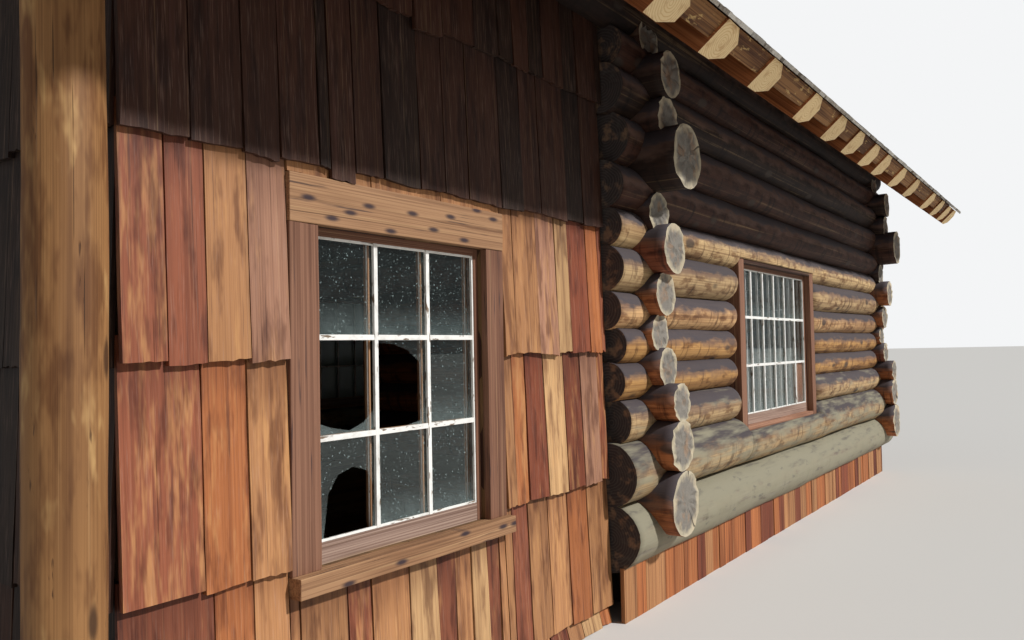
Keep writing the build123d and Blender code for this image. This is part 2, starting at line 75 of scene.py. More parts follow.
Bit = bmesh.types.BMesh
Material = bpy.types.Material
Socket = bpy.types.NodeSocket
Adder = Callable[..., Socket]

# Lowest and highest corner; a point of a plane and the direction that goes; left, right, low and high side;
# two numbers that belong together
Box = tuple[Vector, Vector]
Cut = tuple[Vector, Vector]
Sides = tuple[float, float, float, float]
Span = tuple[float, float]


class Kind(Enum):
    """Kinds of shader node."""

    ATTRIBUTE = "ShaderNodeAttribute"
    BUMP = "ShaderNodeBump"
    CELLS = "ShaderNodeTexVoronoi"
    CHANCE = "ShaderNodeTexWhiteNoise"
    COMBINE = "ShaderNodeCombineXYZ"
    FACING = "ShaderNodeLayerWeight"
    GEOMETRY = "ShaderNodeNewGeometry"
    GLOSSY = "ShaderNodeBsdfGlossy"
    HUE = "ShaderNodeHueSaturation"
    MATHS = "ShaderNodeMath"
    MIX = "ShaderNodeMix"
    MIX_SHADER = "ShaderNodeMixShader"
    NOISE = "ShaderNodeTexNoise"
    PATH = "ShaderNodeLightPath"
    PLACE = "ShaderNodeTexCoord"
    RANGE = "ShaderNodeMapRange"
    SPLIT = "ShaderNodeSeparateXYZ"
    VECTOR = "ShaderNodeVectorMath"


class Pattern(Enum):
    """What a layer of a finish follows."""

    FIBRE = "noise drawn out along the grain"
    RING = "growth rings round the pith"
    SPOKE = "cracks that run out from the pith"
    KNOT = "distance from the nearest knot"
    NAIL = "distance from the nearest nail in a plank's face"


class Gate(Enum):
    """What is added to a layer's pattern, so that it keeps to one part of a piece."""

    ALL = "nothing"
    GREY = "the piece's share of grey"
    RIM = "the share of the way to the rim or to the end"
    UP = "how far the surface faces up"


class Tone(Enum):
    """Colours of the pieces of wood, as sRGB."""

    TAN = "#ac7a50"
    PINK = "#ad7f65"
    CREAM = "#c9a070"
    ORANGE = "#ab683c"
    RUST = "#7c4029"
    BRICK = "#8b4f36"
    MAUVE = "#87604b"
    DUN = "#a37c5a"
    UMBER = "#41261a"
    BARK = "#2c1c14"
    GOLD = "#b98c54"
    HONEY = "#946a40"
    SAND = "#bd9f74"
    SILVER = "#968f83"
    ASH = "#a68d7e"
    STRAW = "#cdae7e"


def linear(hex_colour: str) -> tuple[float, float, float, float]:
    """Turns an sRGB hex value into linear light.

    Args:
        hex_colour: the colour, as in "#a0694f".

    Returns:
        Red, green, blue and an alpha of 1.
    """
    channels = []
    for start in (1, 3, 5):
        value = int(hex_colour[start:start + 2], 16) / 255
        channels.append(value / 12.92 if value <= 0.04045 else ((value + 0.055) / 1.055) ** 2.4)
    return (*channels, 1.0)


def feed(node: bpy.types.Node, inputs: dict) -> None:
    """Sets or links inputs of a node.

    Args:
        node: the node.
        inputs: for each input, by name or number, a value or the socket that feeds it.
    """
    for key, value in inputs.items():
        if isinstance(value, Socket):
            node.id_data.links.new(value, node.inputs[key])
        else:
            node.inputs[key].default_value = value


def add_node(tree: bpy.types.NodeTree, kind: Kind, inputs: dict, output: int | str = 0,
             **settings: object) -> Socket:
    """Adds a node with its settings, its values and its links.

    Args:
        tree: the node tree.
        kind: the kind of node.
        inputs: for each input, by name or number, a value or the socket that feeds it.
        output: name or number of the output that is wanted.
        settings: the node's own fields.

    Returns:
        That output.
    """
    node = tree.nodes.new(kind.value)
    for name, value in settings.items():
        setattr(node, name, value)
    feed(node, inputs)
    return node.outputs[output]


def blank(name: str, roughness: float) -> tuple[Material, Adder, bpy.types.Node]:
    """Starts a material.

    Args:
        name: its name.
        roughness: its roughness.

    Returns:
        The material, what adds nodes to it, and its shader.
    """
    material = bpy.data.materials.new(name)
    material.use_nodes = True
    shader = material.node_tree.nodes["Principled BSDF"]
    feed(shader, {"Roughness": roughness, "Specular IOR Level": 0.3})
    return material, partial(add_node, material.node_tree), shader


@dataclass(frozen=True)
class Layer:
    """One layer of a finish: the colour goes towards its own as its pattern runs from low to high."""

    colour: str
    low: float
    high: float
    share: float = 1.0
    along_mm: float = 500
    across_mm: float = 20
    pattern: Pattern = Pattern.FIBRE
    gate: Gate = Gate.ALL
    wander: float = 0.5
    stains: bool = False
    relief_mm: float = 0.0

    def value(self, add: Adder, grain: Socket) -> Socket:
        """Adds the nodes of the pattern.

        Args:
            add: what adds nodes to the material.
            grain: the place along the grain and the two places across it.

        Returns:
            The pattern's value.
        """
        if self.pattern in (Pattern.RING, Pattern.SPOKE):
            across = add(Kind.VECTOR, {0: grain, 1: (0, 1, 1)}, operation="MULTIPLY")
            if self.pattern is Pattern.RING:
                # Rings wander by up to 40 mm over about 110 mm
                wander = add(Kind.NOISE, {"Vector": grain, "Scale": 9.0, "Detail": 3.0})
                reach = add(Kind.VECTOR, {0: across}, "Value", operation="LENGTH")
                bent = add(Kind.MATHS, {0: wander, 1: 0.04, 2: reach}, operation="MULTIPLY_ADD")
                turns = add(Kind.MATHS, {0: bent, 1: 2000 * math.pi / self.across_mm}, operation="MULTIPLY")
                return add(Kind.MATHS, {0: turns}, operation="SINE")
            spoke = add(Kind.VECTOR, {0: across}, operation="NORMALIZE")
            place = add(Kind.VECTOR, {0: grain, 1: (1, 2, 2), 2: spoke}, operation="MULTIPLY_ADD")
        else:
            scale = (1000 / self.along_mm, 1000 / self.across_mm, 1000 / self.across_mm)
            place = add(Kind.VECTOR, {0: grain, 1: scale}, operation="MULTIPLY")
        if self.pattern in (Pattern.KNOT, Pattern.NAIL):
            return add(Kind.CELLS, {"Vector": place, "Scale": 1.0},
                       voronoi_dimensions="3D" if self.pattern is Pattern.KNOT else "2D")
        return add(Kind.NOISE, {"Vector": place, "Scale": 1.0, "Detail": 3.0, "Roughness": 0.6})


@dataclass(frozen=True)
class Finish:
    """Wood, or paint on wood, in layers over the colour of each piece.

    The grain attribute holds the place along the grain and the two places across it, the dye attribute the
    piece's own colour, and the tint attribute how light it is, its share of grey and the share to its rim.
    """

    name: str
    layers: tuple[Layer, ...]
    body: str = ""
    roughness: float = 0.75

    def build(self) -> Material:
        """Makes the material.

        Returns:
            The material.
        """
        material, add, shader = blank(self.name, self.roughness)
        grain, tint = (add(Kind.ATTRIBUTE, {}, "Vector", attribute_name=name) for name in ("grain", "tint"))
        dye = add(Kind.ATTRIBUTE, {}, "Color", attribute_name="dye")
        gates = {Gate.GREY: add(Kind.SPLIT, {0: tint}, "Y"),
                 Gate.RIM: add(Kind.SPLIT, {0: tint}, "Z"),
                 Gate.UP: add(Kind.SPLIT, {0: add(Kind.GEOMETRY, {}, "Normal")}, "Z")}
        colour = linear(self.body) if self.body else dye
        height = 0.0
        for layer in self.layers:
            value = layer.value(add, grain)
            if layer.gate is not Gate.ALL:
                value = add(Kind.MATHS, {0: value, 1: layer.wander, 2: gates[layer.gate]},
                            operation="MULTIPLY_ADD")
            share = add(Kind.RANGE, {"Value": value, "From Min": layer.low, "From Max": layer.high,
                                     "To Max": layer.share}, interpolation_type="SMOOTHSTEP")
            colour = add(Kind.MIX, {MIX_FACTOR: share, MIX_A: colour, MIX_B: linear(layer.colour)},
                         MIX_RESULT, data_type="RGBA", blend_type="MULTIPLY" if layer.stains else "MIX")
            if layer.relief_mm:
                height = add(Kind.MATHS, {0: share, 1: layer.relief_mm, 2: height}, operation="MULTIPLY_ADD")
        lightness = add(Kind.RANGE, {"Value": add(Kind.SPLIT, {0: tint}, "X"), "To Min": 0.7, "To Max": 1.3})
        colour = add(Kind.HUE, {"Value": lightness, "Color": colour})
        bump = add(Kind.BUMP, {"Strength": 1.0, "Distance": MM, "Height": height})
        feed(shader, {"Base Color": colour, "Normal": bump})
        return material


@dataclass(frozen=True)
class DustyGlass:
    """Old sheet glass: clear, with its reflection, specks, and dust that lies thicker low in each pane."""

    name: str = "Sheet glass, drawn, dusty"
    dust: str = "#9db0ae"
    glare: str = "#e6efec"
    clear: float = 0.008

    # Clouds of dust are about 70 mm wide. Specks of 1 mm would not show, so they are drawn 9 mm wide
    clouds_per_m: float = 14.0
    specks_per_m: float = 110.0

    def build(self) -> Material:
        """Makes the material.

        Returns:
            The material.
        """
        material, add, shader = blank(self.name, 0.4)
        grain, tint = (add(Kind.ATTRIBUTE, {}, "Vector", attribute_name=name) for name in ("grain", "tint"))
        cloud = add(Kind.NOISE, {"Vector": grain, "Scale": self.clouds_per_m, "Detail": 6.0,
                                 "Roughness": 0.7})
        specks = add(Kind.NOISE, {"Vector": grain, "Scale": self.specks_per_m, "Detail": 3.0})
        speck = add(Kind.RANGE, {"Value": specks, "From Min": 0.65, "From Max": 0.71, "To Max": 0.5})
        low = add(Kind.RANGE, {"Value": add(Kind.SPLIT, {0: tint}, "Z"), "From Min": 0.4, "From Max": 0.0,
                               "To Max": 0.16}, interpolation_type="SMOOTHSTEP")
        film = add(Kind.RANGE, {"Value": cloud, "From Min": 0.45, "From Max": 0.8, "To Min": self.clear,
                                "To Max": 3 * self.clear})
        film = add(Kind.MATHS, {0: low, 1: cloud, 2: film}, operation="MULTIPLY_ADD")
        film = add(Kind.MATHS, {0: film, 1: speck}, operation="ADD")
        film = add(Kind.MATHS, {0: film, 1: add(Kind.SPLIT, {0: tint}, "Y")}, operation="ADD", use_clamp=True)
        feed(shader, {"Base Color": linear(self.dust), "Alpha": film})
        mirror = add(Kind.GLOSSY, {"Color": linear(self.glare), "Roughness": 0.02})
        # A pane mirrors 4 percent when seen square on and more when seen from the side
        slant = add(Kind.FACING, {"Blend": 0.5}, "Facing")
        slant = add(Kind.MATHS, {0: slant, 1: 5.0}, operation="POWER")
        share = add(Kind.MATHS, {0: slant, 1: 0.96, 2: 0.04}, operation="MULTIPLY_ADD")
        both = add(Kind.MIX_SHADER, {0: share, 1: shader.outputs[0], 2: mirror})
        feed(material.node_tree.nodes["Material Output"], {"Surface": both})
        return material


@dataclass(frozen=True)
class SawnBoards:
    """Sawn boards laid side by side, drawn on a plain slab that has no grain attribute."""

    name: str
    dark: str
    light: str
    board_mm: float
    run: Vector
    step: Vector
    joint: str = "#150e09"

    # Fibres 1 to 2 mm apart would not show, so they are drawn 11 mm apart and 250 mm long
    fibres_per_m: tuple[float, float, float] = (4.0, 90.0, 90.0)

    def build(self) -> Material:
        """Makes the material.

        Returns:
            The material.
        """
        material, add, shader = blank(self.name, 0.8)
        place = add(Kind.PLACE, {}, "Object")
        across, along = (add(Kind.VECTOR, {0: place, 1: way}, "Value", operation="DOT_PRODUCT")
                         for way in (self.step, self.run))
        count = add(Kind.MATHS, {0: across, 1: self.board_mm * MM}, operation="DIVIDE")
        part, number = (add(Kind.MATHS, {0: count}, operation=name) for name in ("FRACT", "FLOOR"))
        tone = add(Kind.CHANCE, {"W": number}, noise_dimensions="1D")
        start = add(Kind.MATHS, {0: tone, 1: 20.0, 2: along}, operation="MULTIPLY_ADD")
        grain = add(Kind.COMBINE, {0: start, 1: across, 2: tone})
        drawn = add(Kind.VECTOR, {0: grain, 1: self.fibres_per_m}, operation="MULTIPLY")
        fibres = add(Kind.NOISE, {"Vector": drawn, "Scale": 1.0, "Detail": 4.0})
        both = add(Kind.MATHS, {0: tone, 1: 0.5, 2: fibres}, operation="MULTIPLY_ADD")
        gap = add(Kind.RANGE, {"Value": part, "From Min": 0.04, "From Max": 0.01})
        colour = linear(self.dark)
        bright = add(Kind.RANGE, {"Value": both, "From Min": 0.35})
        for share, other in ((bright, self.light), (gap, self.joint)):
            colour = add(Kind.MIX, {MIX_FACTOR: share, MIX_A: colour, MIX_B: linear(other)}, MIX_RESULT,
                         data_type="RGBA")
        height = add(Kind.MATHS, {0: fibres, 1: gap}, operation="SUBTRACT")
        bump = add(Kind.BUMP, {"Strength": 0.7, "Distance": 2 * MM, "Height": height})
        feed(shader, {"Base Color": colour, "Normal": bump})
        return material


@dataclass(frozen=True)
class Look:
    """What sets one piece of wood off from its neighbours."""

    dye: Tone = Tone.TAN
    tone: float = 0.5
    grey: float = 0.0
    seed: int = 0


def tag(bit: Bit, look: Look, span: float, origin: Vector = Vector(), across: Vector = EAST,
        outward: Vector = NORTH, along: Vector = UP) -> None:
    """Writes the grain, tint and dye attributes of a bit.

    Args:
        bit: the mesh.
        look: its colour, and the seed that shifts its pattern.
        span: length along the grain over which the third tint value goes from 0 to 1.
        origin: a point of its axis.
        across: first direction across the grain.
        outward: second direction across the grain.
        along: direction of the grain.
    """
    names = ("grain", "tint", "dye")
    for name in names:
        bit.verts.layers.float_vector.new(name)
    grain, tint, dye = (bit.verts.layers.float_vector[name] for name in names)
    shift = random.Random(look.seed).uniform(0, 60)
    colour = Vector(linear(look.dye.value)[:3])
    for vert in bit.verts:
        place = vert.co - origin
        length = place.dot(along)
        vert[grain] = Vector((length + shift, place.dot(across), place.dot(outward)))
        vert[tint] = Vector((look.tone, look.grey, length / span))
        vert[dye] = colour


def placed(bit: Bit, origin: Vector, across: Vector, outward: Vector, along: Vector) -> Bit:
    """Moves a bit from its own directions to its place.

    Args:
        bit: the mesh.
        origin: where its own origin goes.
        across: where its X goes.
        outward: where its Y goes.
        along: where its Z, the grain, goes.

    Returns:
        The same mesh.
    """
    turn = Matrix((across, outward, along)).transposed().to_4x4()
    bmesh.ops.transform(bit, matrix=Matrix.Translation(origin) @ turn, verts=bit.verts)
    return bit


def clipped(bit: Bit, *cuts: Cut) -> Bit:
    """Cuts off what lies beyond planes and closes the cuts.

    Args:
        bit: the mesh.
        cuts: for each plane a point and the direction that goes.

    Returns:
        The same mesh.
    """
    for point, outward in cuts:
        everything = [*bit.verts, *bit.edges, *bit.faces]
        cut = bmesh.ops.bisect_plane(bit, geom=everything, plane_co=point, plane_no=outward, clear_outer=True)
        rim = [item for item in cut["geom_cut"] if isinstance(item, bmesh.types.BMEdge)]
        bmesh.ops.holes_fill(bit, edges=rim, sides=0)
    return bit


def board(width: float, thickness: float, length: float, look: Look, cuts: tuple[int, int] = (1, 4),
          rough: float = 0.0015, edge: float = 0.0) -> Bit:
    """A board in its own directions: X across from its middle, Y outward from its back, Z along the grain.

    Args:
        width: across the grain.
        thickness: from the back to the face.
        length: along the grain.
        look: its colour and seed.
        cuts: cuts across the width and along the length.
        rough: how far its surface wanders.
        edge: width of the worn edges.

    Returns:
        The mesh.
    """
    bit = bmesh.new()
    bmesh.ops.create_cube(bit, size=1)
    bmesh.ops.scale(bit, vec=(width, thickness, length), verts=bit.verts)
    bmesh.ops.translate(bit, vec=(0, thickness / 2, length / 2), verts=bit.verts)
    for axis, count in ((2, cuts[1]), (0, cuts[0])):
        if count:
            edges = [e for e in bit.edges if abs((e.verts[0].co - e.verts[1].co).normalized()[axis]) > 0.99]
            bmesh.ops.subdivide_edges(bit, edges=edges, cuts=count, use_grid_fill=True)
    if edge:
        worn = [e for e in bit.edges if e.calc_face_angle(0.0) > 1.0]
        bmesh.ops.bevel(bit, geom=worn, offset=edge, segments=2, profile=0.5, affect="EDGES", material=-1)
    tag(bit, look, length)
    shift = Vector((look.seed * 3.17 % 41, look.seed * 1.73 % 37, look.seed * 0.91 % 29))
    for vert in bit.verts:
        vert.co += noise.noise_vector(Vector((vert.co.x * 12, vert.co.y * 5, vert.co.z * 3)) + shift) * rough
    return bit


def corners(points: Iterable[Vector]) -> Box:
    """The lowest and highest corner of a set of points."""
    places = list(zip(*points))
    return Vector(map(min, places)), Vector(map(max, places))


def box_of(bit: Bit) -> Box:
    """The lowest and highest corner of a mesh."""
    return corners(vert.co for vert in bit.verts)


def flat_board(box: Sides, back: float, thick: float, outward: Vector, look: Look, cuts: tuple[int, int],
               rough: float, edge: float) -> Bit:
    """A board that lies flat in a long wall, with its grain along its longer side.

    Args:
        box: where it lies in the wall.
        back: distance of its back from the middle of the building.
        thick: its thickness.
        outward: direction that it faces.
        look: its colour and seed.
        cuts: cuts across the width and along the length.
        rough: how far its surface wanders.
        edge: width of the worn edges.

    Returns:
        The mesh, in its place.
    """
    left, right, low, high = box
    wide, tall = right - left, high - low
    bit = board(min(wide, tall), thick, max(wide, tall), look, cuts, rough, edge)
    if wide < tall:
        return placed(bit, outward * back + Vector(((left + right) / 2, 0, low)), EAST, outward, UP)
    return placed(bit, outward * back + Vector((left, 0, (low + high) / 2)), UP, outward, EAST)


def solids(node: str) -> list[Bit]:
    """Copies of the separate solids in one node of the frame.

    Args:
        node: the node's name.

    Returns:
        A mesh for each solid, sorted by their lowest corners.
    """
    whole = bmesh.new()
    whole.from_mesh(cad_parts[node].data)
    bmesh.ops.remove_doubles(whole, verts=whole.verts, dist=0.01 * MM)
    bmesh.ops.dissolve_limit(whole, angle_limit=0.02, verts=whole.verts, edges=whole.edges)
    whole.verts.index_update()
    found = []
    left = set(whole.verts)
    while left:
        wave = [left.pop()]
        solid = set(wave)
        while wave:
            near = {edge.other_vert(vert) for vert in [wave.pop()] for edge in vert.link_edges} & left
            left -= near
            solid |= near
            wave.extend(near)
        places = {vert.index for vert in solid}
        bit = whole.copy()
        bmesh.ops.delete(bit, geom=[v for v in bit.verts if v.index not in places], context="VERTS")
        found.append(bit)
    whole.free()
    return sorted(found, key=lambda bit: tuple(round(value, 4) for value in box_of(bit)[0]))


def solid_boxes(node: str) -> list[Box]:
    """Boxes of the separate solids in one node of the frame.

    Args:
        node: the node's name.

    Returns:
        The lowest and highest corner of each, sorted by their lowest corners.
    """
    bits = solids(node)
    boxes = [box_of(bit) for bit in bits]
    for bit in bits:
        bit.free()
    return boxes


def carved(bit: Bit, look: Look, origin: Vector, along: Vector, outward: Vector, step: float,
           rough: float) -> Bit:
    """Cuts a solid of the frame finer along its grain and leaves it as uneven as an axe does.

    Args:
        bit: the solid.
        look: its colour and seed.
        origin: a point of its pith.
        along: direction of the grain.
        outward: a direction across it.
        step: distance between the cuts.
        rough: how far its surface wanders.

    Returns:
        The same mesh, with its end grain on the second material.
    """
    places = [vert.co.dot(along) for vert in bit.verts]
    for number in range(1, math.ceil((max(places) - min(places)) / step)):
        everything = [*bit.verts, *bit.edges, *bit.faces]
        bmesh.ops.bisect_plane(bit, geom=everything, plane_co=along * (min(places) + number * step),
                               plane_no=along)
    across = outward.cross(along)
    tag(bit, look, max(places) - min(places), origin, across, outward, along)
    bit.normal_update()
    for face in bit.faces:
        face.material_index = int(abs(face.normal.dot(along)) > 0.7)
    tint = bit.verts.layers.float_vector["tint"]
    shift = Vector((look.seed % 31, look.seed % 37, look.seed % 41))
    for vert in bit.verts:
        place = vert.co - origin
        x, y, z = place.dot(across), place.dot(outward), place.dot(along)
        vert[tint].z = math.hypot(x, y) / 0.13
        wander = noise.noise_vector(Vector((x * 9, y * 9, z * 2.5)) + shift) * rough
        vert.co += across * wander.x + outward * wander.y * 0.5
    return bit


class Gathering:
    """A mesh that gathers many bits and becomes one piece."""

    def __init__(self) -> None:
        """Starts empty."""
        self.mesh = bmesh.new()

    def add(self, bit: Bit, finish: int = 0) -> None:
        """Adds a bit and frees it.

        Args:
            bit: the mesh.
            finish: number added to the material numbers of its faces.
        """
        for face in bit.faces:
            face.material_index += finish
        carrier = bpy.data.meshes.new("bit")
        bit.to_mesh(carrier)
        bit.free()
        self.mesh.from_mesh(carrier)
        bpy.data.meshes.remove(carrier)

    def finish(self, name: str, finishes: list[Material], slot: str, *nodes: str) -> None:
        """Makes the piece.

        Args:
            name: the piece's name.
            finishes: its materials.
            slot: not used.
            nodes: the frame's nodes that it stands for.
        """
        bmesh.ops.recalc_face_normals(self.mesh, faces=self.mesh.faces)
        for vert in self.mesh.verts:
            vert.co.z = max(vert.co.z, 0.0)
        mesh = bpy.data.meshes.new(name)
        self.mesh.to_mesh(mesh)
        self.mesh.free()
        for material in finishes:
            mesh.materials.append(material)
        piece = bpy.data.objects.new(name, mesh)
        bpy.context.scene.collection.objects.link(piece)
        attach(piece, "root")
        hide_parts(*nodes)
        log.info("%s: %d faces", name, len(mesh.polygons))


@dataclass
class Log:
    """One peeled log between two points."""

    start: Vector
    end: Vector
    radius: float
    look: Look
    lump: float = 0.05
    sway: float = 0.008
    jag: float = 0.003
    sides: int = 28
    ring: float = 0.06
    noses: Span = (0.0, 0.0)

    def girth(self, place: float, length: float) -> float:
        """Share of the radius at a place along the log, which is less where an end is rounded off.

        Args:
            place: distance from the log's middle.
            length: the log's length.

        Returns:
            The share.
        """
        share = 1.0
        for nose, reach in zip(self.noses, (length / 2 + place, length / 2 - place)):
            if nose and reach < nose:
                share = 0.5 + 0.5 * math.sqrt(1 - min(1.0, 1 - reach / nose) ** 2)
        return share

    def bit(self) -> Bit:
        """Makes the log: a drum with many rings, swollen, bent and rough at its ends.

        Returns:
            The mesh, with its ends on the second material.
        """
        length = (self.end - self.start).length
        bit = bmesh.new()
        bmesh.ops.create_cone(bit, cap_ends=True, segments=self.sides, radius1=self.radius,
                              radius2=self.radius, depth=length)
        runs = [e for e in bit.edges if abs(e.verts[0].co.z - e.verts[1].co.z) > length / 2]
        bmesh.ops.subdivide_edges(bit, edges=runs, cuts=max(1, round(length / self.ring)), use_grid_fill=True)
        caps = [f for f in bit.faces if len(f.verts) > 4]
        for share in (0.07, 0.28, 0.28, 0.2):
            bmesh.ops.inset_region(bit, faces=caps, thickness=share * self.radius, use_even_offset=True)
        bmesh.ops.poke(bit, faces=caps)
        for face in bit.faces:
            is_end = abs(face.normal.z) > 0.7
            face.material_index = int(is_end)
            face.smooth = not is_end
        tag(bit, self.look, length)
        tint = bit.verts.layers.float_vector["tint"]
        rng = random.Random(self.look.seed)
        shift = Vector((rng.uniform(0, 40), rng.uniform(0, 40), rng.uniform(0, 40)))
        for vert in bit.verts:
            x, y, z = vert.co
            vert[tint].z = math.hypot(x, y) / self.radius
            round_place = Vector((x, y, 0)) / self.radius
            swell = noise.noise(round_place * 0.9 + UP * z * 1.5 + shift)
            ridge = noise.noise(round_place * 2.6 + UP * z * 5 + shift)
            grow = (1 + self.lump * (swell + 0.35 * ridge)) * self.girth(z, length)
            bend_x = self.sway * noise.noise(Vector((z * 0.6, 3.1, shift.x)))
            bend_y = self.sway * noise.noise(Vector((z * 0.6, 8.7, shift.y)))
            at_end = abs(abs(z) - length / 2) < 1e-4
            rough = self.jag * noise.noise(Vector((x * 30, y * 30, shift.z))) if at_end else 0
            vert.co = Vector((x * grow + bend_x, y * grow + bend_y, z + rough))
        turn = (self.end - self.start).to_track_quat("Z", "Y").to_matrix().to_4x4()
        middle = Matrix.Translation((self.start + self.end) / 2)
        bmesh.ops.transform(bit, matrix=middle @ turn, verts=bit.verts)
        return bit


@dataclass
class LogWalls:
    """The log room's walls, course by course, laid where the frame has its logs."""

    side: Material
    end: Material
    # Material of the log ends that face the front room, dark as painted shade
    stub_shade: Material

    # Logs that end at a window are rounded off over this length, and stop this share of it short of the frame
    nose: float = 0.11
    short: float = 0.16

    # Colour of each course of the long walls, from the sill up. The umber and bark of the top courses are
    # painted shade of the eave
    tones: tuple[Tone, ...] = (Tone.SILVER, Tone.SAND, Tone.SAND, Tone.GOLD, Tone.GOLD, Tone.CREAM, Tone.SAND,
                               Tone.STRAW, Tone.UMBER, Tone.UMBER, Tone.BARK, Tone.UMBER, Tone.BARK)

    # Share of grey of the courses that the rain reaches best
    greys: dict[int, float] = field(default_factory=lambda: {1: 0.8, 2: 0.6, 3: 0.45, 4: 0.3})

    # Colours of the cross logs, and the height above which they take dark tones as painted shade of the eave
    low_ends: tuple[Tone, ...] = (Tone.ORANGE, Tone.BRICK, Tone.ORANGE)
    eave_shaded_ends: tuple[Tone, ...] = (Tone.UMBER, Tone.BARK)
    painted_shade_from: float = 1.9

    @property
    def window(self) -> Box:
        """Box of the window frames that stand in the log walls, both sides together."""
        boxes = [box for box in solid_boxes("window_casings") if box[0].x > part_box("skirt_boards")[0].x]
        return corners(corner for box in boxes for corner in box)

    def long_course(self, course: int, low_in: Vector, high_in: Vector) -> None:
        """Lays one course of both long walls.

        Args:
            course: its number.
            low_in: lowest corner of the windows' frames.
            high_in: their highest corner.
        """
        node = f"side_logs_course_{course:02d}"
        pile = Gathering()
        for number, (low, high) in enumerate(solid_boxes(node)):
            radius = (high.y - low.y) / 2
            middle = Vector((0, (low.y + high.y) / 2, high.z - radius))
            seed = 100 * course + number
            rng = random.Random(seed)
            look = Look(self.tones[course - 1], rng.uniform(0.35, 0.65), self.greys.get(course, 0.1), seed)
            before = self.nose if abs(low.x - high_in.x) < TOUCH else 0.0
            after = self.nose if abs(high.x - low_in.x) < TOUCH else 0.0
            start = middle + EAST * (low.x + self.short * before)
            end = middle + EAST * (high.x - self.short * after)
            bit = Log(start, end, radius, look, noses=(before, after),
                      ring=0.035 if before or after else 0.06).bit()
            across_window = low.x < low_in.x and high.x > high_in.x
            if across_window and low.z < low_in.z < high.z:
                self.notched(pile, bit, low_in, high_in, low_in, UP)
            elif across_window and low.z < high_in.z < high.z:
                self.notched(pile, bit, low_in, high_in, high_in, -UP)
            else:
                pile.add(bit)
        pile.finish(node + "_peeled", [self.side, self.stub_shade], "log_wood", node)

    def notched(self, pile: Gathering, bit: Bit, left: Vector, right: Vector, level: Vector,
                away: Vector) -> None:
        """Adds a log that is cut away for the window, as three closed lengths.

        Args:
            pile: the piece.
            bit: the log.
            left: a point where the window's frame starts.
            right: a point where it ends.
            level: a point at the height of the cut.
            away: the side of the cut that goes.
        """
        pile.add(clipped(bit.copy(), (left, EAST)))
        pile.add(clipped(bit.copy(), (right, -EAST)))
        pile.add(clipped(bit, (left, -EAST), (right, EAST), (level, away)))

    def cross_course(self, course: int) -> None:
        """Lays one course of both cross walls.

        Args:
            course: its number.
        """
        node = f"end_logs_course_{course:02d}"
        pile = Gathering()
        for number, (low, high) in enumerate(solid_boxes(node)):
            radius = (high.x - low.x) / 2
            middle = Vector(((low.x + high.x) / 2, 0, high.z - radius))
            rng = random.Random(5000 + 100 * course + number)
            tones = self.eave_shaded_ends if low.z > self.painted_shade_from else self.low_ends
            look = Look(rng.choice(tones), rng.uniform(0.3, 0.6), 0.0, rng.randrange(10 ** 5))
            pile.add(Log(middle + NORTH * low.y, middle + NORTH * high.y, radius, look, lump=0.075,
                         jag=0.012).bit())
        pile.finish(node + "_peeled", [self.side, self.end], "log_wood", node)

    def build(self) -> None:
        """Lays all courses."""
        low_in, high_in = self.window
        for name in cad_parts:
            if name.startswith("side_logs_course_"):
                self.long_course(int(name[-2:]), low_in, high_in)
            if name.startswith("end_logs_course_"):
                self.cross_course(int(name[-2:]))


@dataclass
class RoundTimbers:
    """Posts of the porch, ridge pole and the post that carries it."""

    post: Material
    side: Material
    end: Material

    def poles(self, node: str, side: Material, slot: str, look: Look, along: Vector,
              **shape: float) -> None:
        """Makes the poles of one node.

        Args:
            node: the node's name.
            side: material of the poles' sides.
            slot: the record's slot.
            look: their colour.
            along: direction in which they run.
            shape: fields of a log that differ.
        """
        pile = Gathering()
        for low, high in solid_boxes(node):
            middle = (low + high) / 2
            reach = along * ((high - low).dot(along) / 2)
            radius = min(high.x - low.x, high.y - low.y) / 2
            pile.add(Log(middle - reach, middle + reach, radius, look, **shape).bit())
        pile.finish(node + "_peeled", [side, self.end], slot, node)

    def build(self) -> None:
        """Makes the three pieces."""
        upright = {"sway": 0.02, "sides": 48, "ring": 0.03}
        self.poles("porch_posts", self.post, "post_wood", Look(Tone.HONEY, seed=903), UP, lump=0.045,
                   **upright)
        self.poles("ridge_post", self.side, "log_wood", Look(Tone.HONEY, seed=960), UP, **upright)
        self.poles("ridge_pole", self.side, "log_wood", Look(Tone.HONEY, 0.5, 0.2, 950), EAST, jag=0.006)


